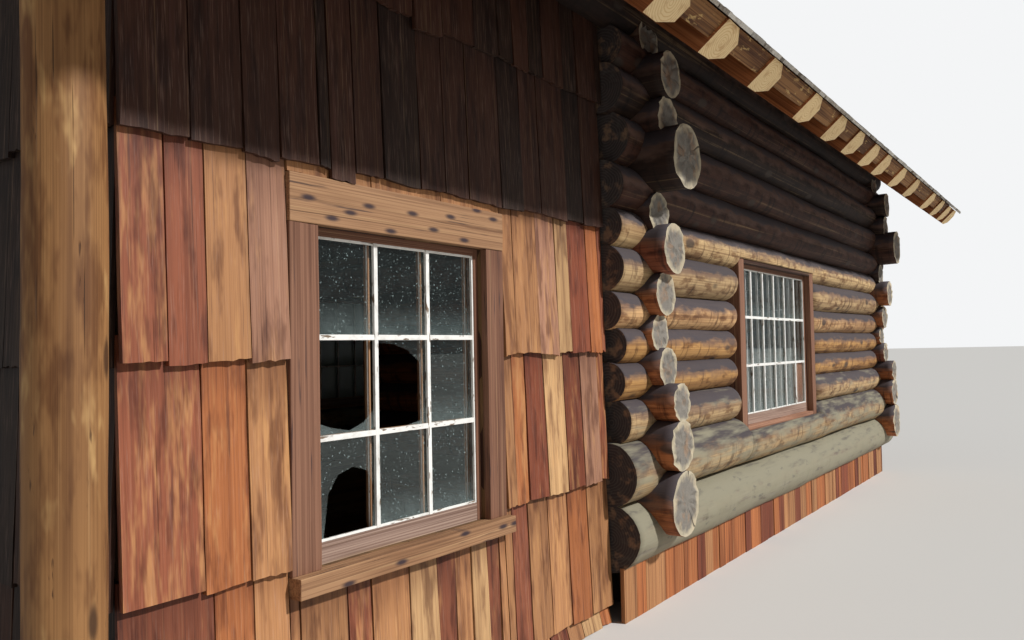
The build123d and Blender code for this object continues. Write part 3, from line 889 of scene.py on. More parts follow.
@dataclass
class ShakeFace:
    """One face of a wall that is clad with split shakes, in courses that lap downwards."""

    origin: Vector
    across: Vector
    outward: Vector
    span: float
    levels: tuple[float, ...]
    seed: int
    known: dict[int, list[tuple[float, Tone]]] = field(default_factory=dict)
    hole: Sides = (-1.0, -1.0, -1.0, -1.0)
    slipped: dict[tuple[int, int], float] = field(default_factory=dict)
    # Above this height the shakes take dark tones, partly painted shade of the eave
    painted_shade_from: float = 2.0
    lap: float = 0.08
    thick: float = 0.018
    butt_out: float = 0.038
    tip_out: float = 0.012
    widths: Span = (0.1, 0.22)
    gaps: Span = (0.0015, 0.005)
    hang: float = 0.008
    narrowest: float = 0.012
    shortest: float = 0.02

    # How far a shake stands proud, cups, twists and slants
    uneven: tuple[float, ...] = (0.0045, 0.004, 0.004, 0.006)
    low_tones: tuple[Tone, ...] = (Tone.TAN, Tone.ORANGE, Tone.PINK, Tone.TAN, Tone.RUST, Tone.BRICK,
                                   Tone.CREAM)
    # Tones of the upper courses, dark as partly painted shade of the eave
    eave_shaded_tones: tuple[Tone, ...] = (Tone.UMBER, Tone.UMBER, Tone.BARK)

    def row(self, course: int, rng: random.Random) -> list[tuple[float, float, Tone]]:
        """Places of the shakes in one course.

        Args:
            course: number of the course from below.
            rng: source of the widths and colours that aren't given.

        Returns:
            Start, end and colour of each shake along the wall.
        """
        places = []
        start = 0.0
        given = list(self.known.get(course, ()))
        tones = self.eave_shaded_tones if self.levels[course] > self.painted_shade_from else self.low_tones
        while start < self.span - 0.03:
            width, tone = given.pop(0) if given else (rng.uniform(*self.widths), rng.choice(tones))
            places.append((start, min(start + width, self.span), tone))
            start += width
        return places

    def parts(self, left: float, right: float, low: float, high: float) -> list[Sides]:
        """What is left of a shake beside, above and below the opening.

        Args:
            left: its start along the wall.
            right: its end along the wall.
            low: height of its butt.
            high: height of its tip.

        Returns:
            The same four sides for each part.
        """
        start, end, sill, head = self.hole
        if right <= start or left >= end or high <= sill or low >= head:
            return [(left, right, low, high)]
        inner = (max(left, start), min(right, end))
        rest = [(left, start, low, high), (end, right, low, high), (*inner, low, sill), (*inner, head, high)]
        return [part for part in rest
                if part[1] - part[0] > self.narrowest and part[3] - part[2] > self.shortest]

    def shake(self, left: float, right: float, low: float, high: float, tone: Tone, level: float,
              rise: float, rng: random.Random) -> Bit:
        """One shake, thick at its butt, a little cupped, twisted and out of line.

        Args:
            left: its start along the wall.
            right: its end along the wall.
            low: height of its butt.
            high: height of its tip.
            tone: its colour.
            level: height of its course.
            rise: height from its course to the next.
            rng: source of its unevenness.

        Returns:
            The mesh, in its place.
        """
        gap = rng.uniform(*self.gaps)
        width = right - left - 2 * gap
        length = high - low
        # Shakes in the upper, shaded tones get no golden patches, as part of the painted shade
        grey = rng.uniform(0.0, 0.2) - 0.4 * (tone in self.eave_shaded_tones)
        look = Look(tone, rng.uniform(0.25, 0.75), grey, rng.randrange(10 ** 6))
        bit = board(width, self.thick, length, look, (6, 4), 0.0)
        proud, cup, twist, slant = (rng.uniform(-most, most) for most in self.uneven)
        shift = Vector((look.seed % 97, look.seed % 89, look.seed % 83))
        for vert in bit.verts:
            x, y, z = vert.co
            side = 2 * x / width
            out = self.butt_out - (self.butt_out - self.tip_out) * (z + low - level) / rise
            wave = 0.002 * noise.noise(Vector((x * 9, z * 3, 4)) + shift)
            lift = max(0.0, out) - self.thick + y + wave + cup * side * side * 0.5
            lift += twist * side * (z / length - 0.5)
            lift += proud * (1 - z / length)
            edge = 0.003 * noise.noise(Vector((side, z * 3, 9)) + shift) * abs(side)
            butt = slant * side + 0.007 * noise.noise(Vector((x * 55, 3, 2)) + shift) if z < 1e-5 else 0
            vert.co = Vector((x + edge, max(lift, 0.0005 * (1 + y)), z + butt))
        return placed(bit, self.origin + self.across * ((left + right) / 2) + UP * low, self.across,
                      self.outward, UP)

    def build(self, pile: Gathering, *cuts: Cut) -> None:
        """Adds all shakes of the face to a piece.

        Args:
            pile: the piece.
            cuts: planes that the shakes end at.
        """
        rng = random.Random(self.seed)
        for course, (low, high) in enumerate(zip(self.levels, self.levels[1:])):
            for number, (left, right, tone) in enumerate(self.row(course, rng)):
                hang = rng.uniform(-self.hang, self.hang) - self.slipped.get((course, number), 0.0)
                for part in self.parts(left, right, max(low + hang, 0.0),
                                       min(high + self.lap, self.levels[-1])):
                    pile.add(clipped(self.shake(*part, tone, low, high - low, rng), *cuts))


@dataclass(frozen=True)
class Slope:
    """One slope of the roof, 1 for the side that shows and -1 for the far one."""

    sign: int
    eave: Vector
    pitch: float = math.radians(42)
    depth: float = 0.185

    @property
    def along(self) -> Vector:
        """Direction up the roof."""
        return Vector((0, self.sign * math.cos(self.pitch), math.sin(self.pitch)))

    @property
    def square(self) -> Vector:
        """Direction out of the roof."""
        return Vector((0, -self.sign * math.sin(self.pitch), math.cos(self.pitch)))

    @property
    def corner(self) -> Vector:
        """Lower corner of the rafters' tails."""
        return Vector((0, self.sign * (self.eave.y + self.depth * math.sin(self.pitch)), self.eave.z))


SLOPES = tuple(Slope(sign, Vector(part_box("rafters")[0])) for sign in (1, -1))


@dataclass
class ShakeCladding:
    """All clad walls: both long sides, the front wall with its gable and the rear gable."""

    shake: Material
    levels: tuple[float, ...] = (0.0, 0.10, 0.755, 1.43, 2.09, 2.765, 3.37)
    gable_step: float = 0.65
    face: float = 0.030
    doorway_half: float = 0.47
    doorway_top: float = 2.11

    # How far the nails have let some shakes slip, by course and number
    slipped: dict[tuple[int, int], float] = field(default_factory=lambda: {
        (4, 5): 0.06, (5, 3): 0.03, (5, 9): 0.03})

    # The near side's shakes from the front corner, as far as they can be seen: for each course a letter for
    # the colour of each, and the widths in millimetres
    letters: dict[str, Tone] = field(default_factory=lambda: {
        "b": Tone.BRICK, "o": Tone.ORANGE, "t": Tone.TAN, "c": Tone.CREAM, "r": Tone.RUST, "p": Tone.PINK,
        "u": Tone.UMBER, "d": Tone.BARK,
    })
    seen: tuple[tuple[str, tuple[float, ...]], ...] = (
        ("bottbtcbtcbtbttot", (306, 145, 180, 215, 118, 203, 164, 113, 106, 111, 87, 104, 129, 168, 180, 194,
                               252)),
        ("bottttorcrpb", (265, 164, 162, 400, 400, 482.9, 104, 160, 180, 164, 175, 226)),
        ("bbtpttttpcrob", (146, 132, 156, 157, 400, 400, 502.9, 198, 169, 122, 180, 127, 150)),
        # The fourth course's umber and bark are partly painted shade of the eave
        ("uuuuduuduuuduudu", (223, 188, 145, 168, 50, 120, 149, 208, 154, 159, 231, 174, 152, 237, 170,
                              200)),
    )

    @property
    def near(self) -> dict[int, list[tuple[float, Tone]]]:
        """Widths and colours of the near side's shakes, for the courses from the second up."""
        return {course: [(width * MM, self.letters[letter]) for letter, width in zip(*row)]
                for course, row in enumerate(self.seen, 1)}

    def build(self) -> None:
        """Makes the two pieces."""
        low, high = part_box("side_shakes")
        hole = next(box for box in solid_boxes("window_casings") if box[0].x < low.x + 1)
        opening = (hole[0].x - low.x, hole[1].x - SILL_HORN - low.x, hole[0].z, hole[1].z)
        half = high.y - self.face
        pile = Gathering()
        for sign in (-1, 1):
            known = self.near if sign < 0 else {}
            ShakeFace(Vector((low.x, sign * half, 0)), EAST, NORTH * sign, high.x - low.x, self.levels,
                      40 + sign, known, opening, self.slipped).build(pile)
        pile.finish("side_shakes_split", [self.shake], "shake_wood", "side_shakes")

        front, rear = solid_boxes("end_shakes")
        levels = list(self.levels)
        while levels[-1] < front[1].z:
            levels.append(levels[-1] + self.gable_step)
        cuts = [(slope.corner - slope.square * MM, slope.square) for slope in SLOPES]
        pile = Gathering()
        # The front wall under the porch gets dark umber and bark shakes as painted shade of the porch roof
        ShakeFace(Vector((front[1].x, -half, 0)), NORTH, -EAST, 2 * half, tuple(levels), 71,
                  hole=(half - self.doorway_half, half + self.doorway_half, -1.0, self.doorway_top),
                  low_tones=(Tone.UMBER, Tone.BARK, Tone.BARK)).build(pile, *cuts)
        upper = tuple(levels[len(self.levels) - 2:])
        ShakeFace(Vector((rear[0].x, -half, 0)), NORTH, EAST, 2 * half, upper, 72).build(pile, *cuts)
        pile.finish("end_shakes_split", [self.shake], "shake_wood", "end_shakes")


@dataclass
class Roof:
    """Rafters, the boards between their tails, the roof's shakes and the ridge cap."""

    rafter: Material
    rafter_end: Material
    block: Material
    shake: Material
    exposure: float = 0.25
    lip: float = 0.035
    top: float = 0.236
    longest: float = 0.5
    widths: Span = (0.09, 0.19)
    gap: float = 0.005
    cap_wide: float = 0.19

    def carve_node(self, node: str, name: str, finishes: list[Material], tone: Tone, across_eave: bool,
                   rough: float) -> None:
        """Makes a piece out of the solids of one node.

        Args:
            node: the node's name.
            name: the piece's name.
            finishes: the side's and the end's materials.
            tone: the wood's colour.
            across_eave: whether the grain runs along the eave instead of up the roof.
            rough: how far the surface wanders.
        """
        pile = Gathering()
        for number, bit in enumerate(solids(node)):
            low, high = box_of(bit)
            slope = SLOPES[int(low.y + high.y > 0)]
            rng = random.Random(700 + number)
            look = Look(tone, rng.uniform(0.35, 0.65), 0.0, rng.randrange(10 ** 5))
            pith = slope.corner + slope.square * (slope.depth / 2) + EAST * ((low.x + high.x) / 2)
            along = EAST if across_eave else slope.along
            pile.add(carved(bit, look, pith, along, slope.square, 0.1 if across_eave else 0.16, rough))
        pile.finish(name, finishes, "rafter_wood", node)

    def shakes(self) -> None:
        """Courses of split shakes on both slopes, each shake a little out of line."""
        low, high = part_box("roof_shakes")
        rng = random.Random(11)
        for slope, side_name in zip(SLOPES, ("near", "far")):
            length_up = abs(slope.corner.y) / math.cos(slope.pitch) + self.top * math.tan(slope.pitch)
            pile = Gathering()
            for row in range(math.floor(length_up / self.exposure)):
                x = low.x
                while x < high.x - 0.03:
                    width = min(rng.uniform(*self.widths), high.x - x)
                    butt = row * self.exposure - self.lip + rng.uniform(-0.014, 0.008)
                    length = min(self.longest, length_up - butt)
                    thick = rng.uniform(0.014, 0.022)
                    look = Look(Tone.SILVER, rng.uniform(0.2, 0.9), rng.uniform(0.2, 0.7),
                                rng.randrange(10 ** 6))
                    bit = board(width - self.gap, thick, length, look, (1, 1))
                    # Shakes thin out towards their tips, which the next courses press down. The first course
                    # lies on the boards and rises to them
                    for vert in bit.verts:
                        share = vert.co.z / length
                        vert.co.y = vert.co.y * (1 - 0.7 * share)
                        vert.co.y += 0.045 * share if not row else -0.012 * share
                    base = self.top - thick if row else slope.depth + 0.003
                    place = slope.corner + slope.along * butt + slope.square * base + EAST * (x + width / 2)
                    pile.add(placed(bit, place, EAST, slope.square, slope.along))
                    x += width
            clipped(pile.mesh, (Vector(), NORTH * slope.sign))
            pile.finish(f"roof_shakes_{side_name}", [self.shake], "roof_shake_wood", "roof_shakes")

    def cap(self) -> None:
        """Boards in a V over the ridge, in four lengths."""
        low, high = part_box("ridge_cap")
        run = (high.x - low.x) / 4
        pile = Gathering()
        for number in range(8):
            slope = SLOPES[number % 2]
            look = Look(Tone.SILVER, random.Random(number).uniform(0.3, 0.8), 0.5, 700 + number)
            bit = board(self.cap_wide, 0.022, run - 0.003, look, (2, 6), 0.003, 0.002)
            middle = (Vector((low.x + number // 2 * run, 0, high.z)) - slope.along * (self.cap_wide / 2)
                      - slope.square * 0.024)
            pile.add(placed(bit, middle, slope.along, slope.square, EAST))
        pile.finish("ridge_cap_boards", [self.shake], "roof_shake_wood", "ridge_cap")

    def build(self) -> None:
        """Makes all pieces of the roof."""
        self.carve_node("rafters", "rafters_hewn", [self.rafter, self.rafter_end], Tone.ORANGE, False, 0.009)
        self.carve_node("eave_blocking", "eave_blocking_rough", [self.block, self.block], Tone.HONEY, True,
                        0.004)
        self.shakes()
        self.cap()


@dataclass
class Sash:
    """A sash of three rows of panes, with putty-faced bars and some broken glass."""

    low: Vector
    high: Vector
    seed: int
    stile: float = 0.030
    bottom: float = 0.075
    bar: float = 0.020
    putty: float = 0.009
    glass_back: float = 0.017
    rows: int = 3
    film: float = 0.0
    pane_wide: float = 0.28

    # How far the parts lie behind the sash's face, and their thickness. Level ones differ from upright ones,
    # so that no two faces lie in one plane
    stile_at: Span = (0.0, 0.036)
    rail_at: Span = (0.001, 0.034)
    bead_at: Span = (0.004, 0.012)
    level_bead_at: Span = (0.005, 0.011)
    bar_at: Span = (0.003, 0.013)
    level_bar_at: Span = (0.004, 0.012)
    inner_at: Span = (0.045, 0.014)
    level_inner_at: Span = (0.046, 0.012)
    flake_at: Span = (0.043, 0.004)
    inner_half: float = 0.009
    level_inner_half: float = 0.007

    # Holes in the panes, by row and column: their corners as shares of the pane
    holes: dict[tuple[int, int], tuple[tuple[float, float], ...]] = field(default_factory=dict)

    @property
    def outward(self) -> Vector:
        """Direction that the sash faces."""
        return Vector((0, -1 if self.low.y < 0 else 1, 0))

    @property
    def face(self) -> float:
        """Distance of its face from the middle of the building."""
        return max(abs(self.low.y), abs(self.high.y))

    @property
    def columns(self) -> int:
        """Number of panes side by side."""
        return round((self.high.x - self.low.x) / self.pane_wide)

    def member(self, pile: Gathering, sides: Sides, depth: Span, finish: int,
               tone: Tone = Tone.ASH) -> None:
        """Adds one stile, rail, bar or bead.

        Args:
            pile: the piece.
            sides: where it lies in the wall.
            depth: how far its face lies behind the sash's face, and its thickness.
            finish: number of its material.
            tone: colour of its wood.
        """
        self.seed += 1
        look = Look(tone, random.Random(self.seed).uniform(0.4, 0.6), 0.2, self.seed)
        back, thick = depth
        pile.add(flat_board(sides, self.face - back - thick, thick, self.outward, look, (1, 8), 0.0008,
                            0.0012), finish)

    def wood(self, pile: Gathering) -> None:
        """Adds stiles, rails, bars and putty: white outside, bare behind the glass.

        Args:
            pile: the piece. Its first material is the paint, its second the bare wood.
        """
        left, right, low, high = self.low.x, self.high.x, self.low.z, self.high.z
        inner_left, inner_right = left + self.stile, right - self.stile
        inner_low, inner_high = low + self.bottom, high - self.stile
        bead = self.putty
        for sides in ((left, inner_left, low, high), (inner_right, right, low, high)):
            self.member(pile, sides, self.stile_at, 1, Tone.MAUVE)
        self.member(pile, (inner_left, inner_right, inner_high, high), self.rail_at, 1, Tone.MAUVE)
        self.member(pile, (inner_left, inner_right, low, inner_low), self.rail_at, 1)
        for sides in ((inner_left, inner_left + bead, inner_low, inner_high),
                      (inner_right - bead, inner_right, inner_low, inner_high)):
            self.member(pile, sides, self.bead_at, 0)
        for sides in ((inner_left, inner_right, inner_high - bead, inner_high),
                      (inner_left, inner_right, inner_low, inner_low + bead)):
            self.member(pile, sides, self.level_bead_at, 0)
        across = [inner_left + (inner_right - inner_left) * n / self.columns for n in range(self.columns + 1)]
        upward = [inner_low + (inner_high - inner_low) * n / self.rows for n in range(self.rows + 1)]
        half = self.bar / 2
        for x in across[1:-1]:
            self.member(pile, (x - half, x + half, inner_low, inner_high), self.bar_at, 0)
        for z in upward[1:-1]:
            self.member(pile, (inner_left, inner_right, z - half, z + half), self.level_bar_at, 0)
        # A second set of bars stands behind the glass: white in the wide sashes, and in the others bare wood
        # with a flake of paint left on one side
        behind = 0 if self.columns > 3 else 1
        half = self.inner_half
        for x in across[1:]:
            self.member(pile, (x - half, x + half, inner_low, inner_high), self.inner_at, behind, Tone.DUN)
            self.member(pile, (x - 0.010, x - 0.006, inner_low, inner_high), self.flake_at, 0)
        half = self.level_inner_half
        for z in upward[1:-1]:
            self.member(pile, (inner_left, inner_right, z - half, z + half), self.level_inner_at, behind,
                        Tone.DUN)

    def glass(self, pile: Gathering) -> None:
        """Adds the panes, or what is left of them.

        Args:
            pile: the piece.
        """
        wide = (self.high.x - self.low.x - 2 * self.stile) / self.columns
        tall = (self.high.z - self.low.z - self.stile - self.bottom) / self.rows
        face = self.face - self.glass_back
        for row in range(self.rows):
            for column in range(self.columns):
                middle = Vector((self.low.x + self.stile + (column + 0.5) * wide, self.outward.y * face,
                                 self.low.z + self.bottom + row * tall))
                hole = self.holes.get((row, column), ())
                turns = [Vector(((x - 0.5) * wide, 0, z * tall)) for x, z in hole]
                edges = []
                for here, there in zip(turns, turns[1:] + turns[:1]):
                    edges.append((here, Vector((there.z - here.z, 0, here.x - there.x))))
                for number in range(max(1, len(edges))):
                    look = Look(Tone.ASH, 0.5, self.film, self.seed + 10 * row + column)
                    bit = board(wide - 0.004, 0.003, tall - 0.004, look, (1, 2), 0.0)
                    # A shard lies outside one edge of the hole and inside the edges before it
                    cuts = edges[:number] + [(point, -out) for point, out in edges[number:number + 1]]
                    clipped(bit, *cuts)
                    if bit.faces:
                        pile.add(placed(bit, middle, EAST, self.outward, UP))


@dataclass
class Windows:
    """The sashes, the casings of the front room and the heavy jambs in the log walls."""

    paint: Material
    bare: Material
    glass: Material
    casing: Material

    # Thickness of the boards that line the front windows' recess, its depth, and how high above the sill the
    # board that stands in for a lost pane begins and ends
    lining: float = 0.02
    recess: float = 0.09
    patch: Span = (0.08, 0.42)

    # Holes in the front room's panes, by row and column: their corners as shares of the pane
    holes: dict[tuple[int, int], tuple[tuple[float, float], ...]] = field(default_factory=lambda: {
        (1, 0): ((-0.1, 0.2), (0.25, 0.1), (0.55, 0.05), (0.8, 0.12), (1.1, 0.34), (1.1, 1.1), (-0.1, 1.1)),
        (1, 1): ((-0.1, 0.04), (0.5, 0.02), (0.86, 0.07), (0.9, 0.5), (0.86, 0.72), (0.62, 0.86),
                 (0.35, 0.93), (-0.1, 0.95)),
        (0, 0): ((0.12, 0.02), (0.92, -0.05), (0.95, 0.45), (0.84, 0.62), (0.6, 0.68), (0.36, 0.62),
                 (0.2, 0.45)),
    })

    def plank(self, pile: Gathering, box: Sides, back: float, front: float, sign: int, tone: Tone,
              seed: int) -> None:
        """Adds one plank, with its grain along its longer side.

        Args:
            pile: the piece.
            box: its left, right, low and high sides.
            back: distance of its back from the middle of the building.
            front: distance of its face.
            sign: -1 for the side that shows, 1 for the far side.
            tone: its colour.
            seed: a number for its unevenness.
        """
        # Only the level planks in tan carry the stains of nails
        look = Look(tone, random.Random(seed).uniform(0.4, 0.6), 0.0 if tone is Tone.DUN else 1.0, seed)
        pile.add(flat_board(box, back, front - back, NORTH * sign, look, (3, 12), 0.002, 0.003))

    def front_casing(self, pile: Gathering, sash: Sash, low: Vector, high: Vector, sign: int) -> None:
        """Adds the planks round a window of the front room, and the boards that line its recess.

        Args:
            pile: the piece.
            sash: the window's sash.
            low: lowest corner of the casing.
            high: its highest corner.
            sign: -1 for the side that shows, 1 for the far side.
        """
        back = min(abs(low.y), abs(high.y))
        left, right, sill, head = sash.low.x, sash.high.x, sash.low.z, sash.high.z
        end = high.x - SILL_HORN
        self.plank(pile, (low.x, left, sill, head), back, back + 0.032, sign, Tone.MAUVE, 2001)
        self.plank(pile, (right, end, sill, head), back, back + 0.032, sign, Tone.MAUVE, 2002)
        self.plank(pile, (low.x, end, head, high.z), back, back + 0.036, sign, Tone.DUN, 2003)
        self.plank(pile, (low.x, high.x, low.z, sill), back, back + 0.072, sign, Tone.DUN, 2004)
        lining = self.lining
        boxes = ((left - lining, left, sill, head), (right, right + lining, sill, head),
                 (left, right, head, head + lining))
        # The lining boards are umber as painted shade of the recess
        for number, box in enumerate(boxes):
            self.plank(pile, box, back - self.recess, back, sign, Tone.UMBER, 2010 + number)

    def log_frame(self, pile: Gathering, sash: Sash, low: Vector, high: Vector, sign: int) -> None:
        """Adds the jambs, head and sill of a log wall's window, and the board that stands in for a lost pane.

        Args:
            pile: the piece.
            sash: the window's sash.
            low: lowest corner of the frame.
            high: its highest corner.
            sign: -1 for the side that shows, 1 for the far side.
        """
        back, front = sorted((abs(low.y), abs(high.y)))
        left, right, sill, head = sash.low.x, sash.high.x, sash.low.z, sash.high.z
        self.plank(pile, (low.x, left, low.z, high.z), back, front, sign, Tone.MAUVE, 2101)
        self.plank(pile, (right, high.x, low.z, high.z), back, front, sign, Tone.MAUVE, 2102)
        self.plank(pile, (left, right, head, high.z), back, front, sign, Tone.UMBER, 2103)
        self.plank(pile, (left, right, low.z, sill), back, front, sign, Tone.PINK, 2104)
        if sign < 0:
            wide = (right - left - 2 * sash.stile) / sash.columns
            edge = right - sash.stile
            low_end, high_end = (sill + reach for reach in self.patch)
            self.plank(pile, (edge - wide, edge, low_end, high_end), front - 0.085, front - 0.073, sign,
                       Tone.PINK, 2105)

    def build(self) -> None:
        """Makes all pieces of the windows."""
        wood, panes, planks = Gathering(), Gathering(), Gathering()
        casings = solid_boxes("window_casings")
        for number, (low, high) in enumerate(solid_boxes("window_sashes")):
            sign = -1 if low.y < 0 else 1
            casing = next(box for box in casings if box[0].x < low.x < box[1].x and box[0].y * sign > 0)
            is_front = high.x - low.x < 1.2
            # The far side's panes are thought to be dimmer with dust, which also keeps the rooms dark
            sash = Sash(low, high, 1000 * (number + 1), film=0.0 if sign < 0 else 0.9,
                        holes=self.holes if is_front and sign < 0 else {})
            sash.wood(wood)
            sash.glass(panes)
            (self.front_casing if is_front else self.log_frame)(planks, sash, *casing, sign)
        wood.finish("window_sashes_barred", [self.paint, self.bare], "sash_paint", "window_sashes")
        panes.finish("window_panes", [self.glass], "glass", "window_glass")
        planks.finish("window_casings_planks", [self.casing], "casing_wood", "window_casings")


@dataclass
class Boards:
    """Skirt of upright split boards, and the plank door with two ledges."""

    skirt: Material
    door: Material
    thick: float = 0.025
    side_high: float = 0.285
    front_high: float = 0.28
    front_half: float = 2.2
    setback: float = 0.4
    widths: Span = (0.09, 0.17)
    ledge: float = 0.14

    def run(self, pile: Gathering, start: Vector, along: Vector, outward: Vector, length: float,
            height: float, seed: int) -> None:
        """Adds one side's boards.

        Args:
            pile: the piece.
            start: lower corner of the first board's back.
            along: direction of the row.
            outward: direction that the boards face.
            length: length of the row.
            height: height of the boards.
            seed: source of their widths.
        """
        rng = random.Random(seed)
        place = 0.0
        while place < length - 0.02:
            width = min(rng.uniform(*self.widths), length - place)
            look = Look(rng.choice((Tone.ORANGE, Tone.ORANGE, Tone.TAN, Tone.RUST)), rng.uniform(0.3, 0.8),
                        0.0, seed + round(place * 1000))
            bit = board(width - 0.004, self.thick * rng.uniform(0.75, 1.0), height, look, (2, 4), 0.002)
            pile.add(placed(bit, start + along * (place + width / 2), along, outward, UP))
            place += width

    def build(self) -> None:
        """Makes the two pieces."""
        low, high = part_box("skirt_boards")
        side = high.y - self.thick
        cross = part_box("end_logs_course_01")[0]
        pile = Gathering()
        for sign in (-1, 1):
            self.run(pile, Vector((low.x, sign * side, 0)), EAST, NORTH * sign, high.x - low.x,
                     self.side_high, 3000 + sign)
        self.run(pile, Vector((high.x - self.thick, -side, 0)), NORTH, EAST, 2 * side, cross.z + 0.03, 3100)
        self.run(pile, Vector((low.x + self.setback - self.thick / 2, -self.front_half, 0)), NORTH, EAST,
                 2 * self.front_half, self.front_high, 3200)
        pile.finish("skirt_boards_split", [self.skirt], "skirt_wood", "skirt_boards")

        low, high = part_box("front_door")
        pile = Gathering()
        width = (high.y - low.y) / 6
        for number in range(6):
            look = Look(Tone.UMBER, random.Random(number).uniform(0.4, 0.9), 0.15, 4000 + number)
            bit = board(width - 0.003, 0.042, high.z - low.z, look, (2, 12), 0.0015, 0.003)
            start = Vector((low.x + 0.044, low.y + width * (number + 0.5), low.z))
            pile.add(placed(bit, start, NORTH, -EAST, UP))
        for share in (0.2, 0.8):
            bit = board(self.ledge, 0.028, (high.y - low.y) * 0.9, Look(Tone.UMBER, seed=4100), (2, 8), 0.002,
                        0.003)
            start = Vector((low.x + 0.045, low.y + (high.y - low.y) * 0.05, low.z + (high.z - low.z) * share))
            pile.add(placed(bit, start, UP, EAST, NORTH))
        pile.finish("front_door_planks", [self.door], "door_wood", "front_door")


@dataclass
class Studio:
    """Floor, light and the camera that stood beside the wall."""

    camera_place: Vector = field(default_factory=lambda: Vector((-5.44, -4.65, 1.45)))
    yaw: float = math.radians(34.9)
    pitch: float = math.radians(1.99)
    roll: float = math.radians(-1.08)
    lens: float = 29.88
    sun_from: Vector = field(default_factory=lambda: Vector((0.3, -1.0, 0.86)))
    sun_strength: float = 3.9
    sky_strength: float = 0.22
    sky: str = "#f4f5f6"
    paper: str = "#cfcdc9"
    floor_half: float = 300

    def camera(self) -> None:
        """Sets the camera at the photograph's place and angle."""
        forward = Vector((math.cos(self.yaw) * math.cos(self.pitch),
                          math.sin(self.yaw) * math.cos(self.pitch), math.sin(self.pitch)))
        level = Vector((math.sin(self.yaw), -math.cos(self.yaw), 0))
        upright = level.cross(forward)
        right = level * math.cos(self.roll) + upright * math.sin(self.roll)
        up = upright * math.cos(self.roll) - level * math.sin(self.roll)
        data = bpy.data.cameras.new("camera")
        data.lens = self.lens
        data.sensor_width = 36
        data.clip_end = 200
        camera = bpy.data.objects.new("camera", data)
        bpy.context.scene.collection.objects.link(camera)
        turn = Matrix((right, up, -forward)).transposed().to_4x4()
        camera.matrix_world = Matrix.Translation(self.camera_place) @ turn
        bpy.context.scene.camera = camera

    def floor(self) -> None:
        """Lays a plain pale floor."""
        material, _, shader = blank("Studio floor, matt paper", 0.9)
        feed(shader, {"Base Color": linear(self.paper)})
        sheet = bmesh.new()
        bmesh.ops.create_grid(sheet, x_segments=1, y_segments=1, size=self.floor_half)
        mesh = bpy.data.meshes.new("studio_floor")
        sheet.to_mesh(mesh)
        sheet.free()
        mesh.materials.append(material)
        floor = bpy.data.objects.new("studio_floor", mesh)
        bpy.context.scene.collection.objects.link(floor)

    def light(self) -> None:
        """Sets one broad soft light and an even sky that is white to the camera."""
        data = bpy.data.lights.new("key", "SUN")
        data.energy = self.sun_strength
        data.angle = math.radians(3)
        key = bpy.data.objects.new("key", data)
        key.rotation_mode = "QUATERNION"
        key.rotation_quaternion = self.sun_from.to_track_quat("Z", "Y")
        bpy.context.scene.collection.objects.link(key)
        world = bpy.data.worlds.new("studio")
        world.use_nodes = True
        add = partial(add_node, world.node_tree)
        seen = add(Kind.PATH, {}, "Is Camera Ray")
        strength = add(Kind.RANGE, {"Value": seen, "To Min": self.sky_strength})
        feed(world.node_tree.nodes["Background"], {"Color": linear(self.sky), "Strength": strength})
        bpy.context.scene.world = world

    def build(self) -> None:
        """Sets up the studio."""
        bpy.context.scene.view_settings.view_transform = "Standard"
        self.camera()
        self.floor()
        self.light()


def dress(node: str, material: Material) -> None:
    """Gives a node of the frame its finish.

    Args:
        node: the node's name.
        material: the finish.
    """
    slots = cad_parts[node].data.materials
    slots.clear()
    slots.append(material)
    log.info("%s: dressed", node)


def wood_layers(fine_mm: float, streak_mm: float, contrast: float, checks: float) -> tuple[Layer, ...]:
    """Layers that all split, hewn and sawn wood has in common.

    Args:
        fine_mm: spacing of the fibres. Real ones lie 1 to 2 mm apart, too fine to see, and are drawn coarser.
        streak_mm: width of the streaks of late wood.
        contrast: how strongly the streaks show.
        checks: how strongly the drying cracks show.

    Returns:
        The layers.
    """
    return (
        Layer("#8f6c58", 0.46, 0.7, contrast, 1200, 7 * streak_mm, stains=True),
        Layer("#7d5240", 0.5, 0.66, 0.8 * contrast, 2400, streak_mm, stains=True, relief_mm=-0.8),
        Layer("#ecc893", 0.56, 0.76, 0.4 * contrast, 2000, 0.7 * streak_mm, relief_mm=0.4),
        Layer("#8c6c5a", 0.45, 0.62, 0.8 * contrast, 1400, fine_mm, stains=True, relief_mm=-0.5),
        Layer("#1d120c", 0.67, 0.72, checks, 900, 1.4 * fine_mm, relief_mm=-2.0),
    )


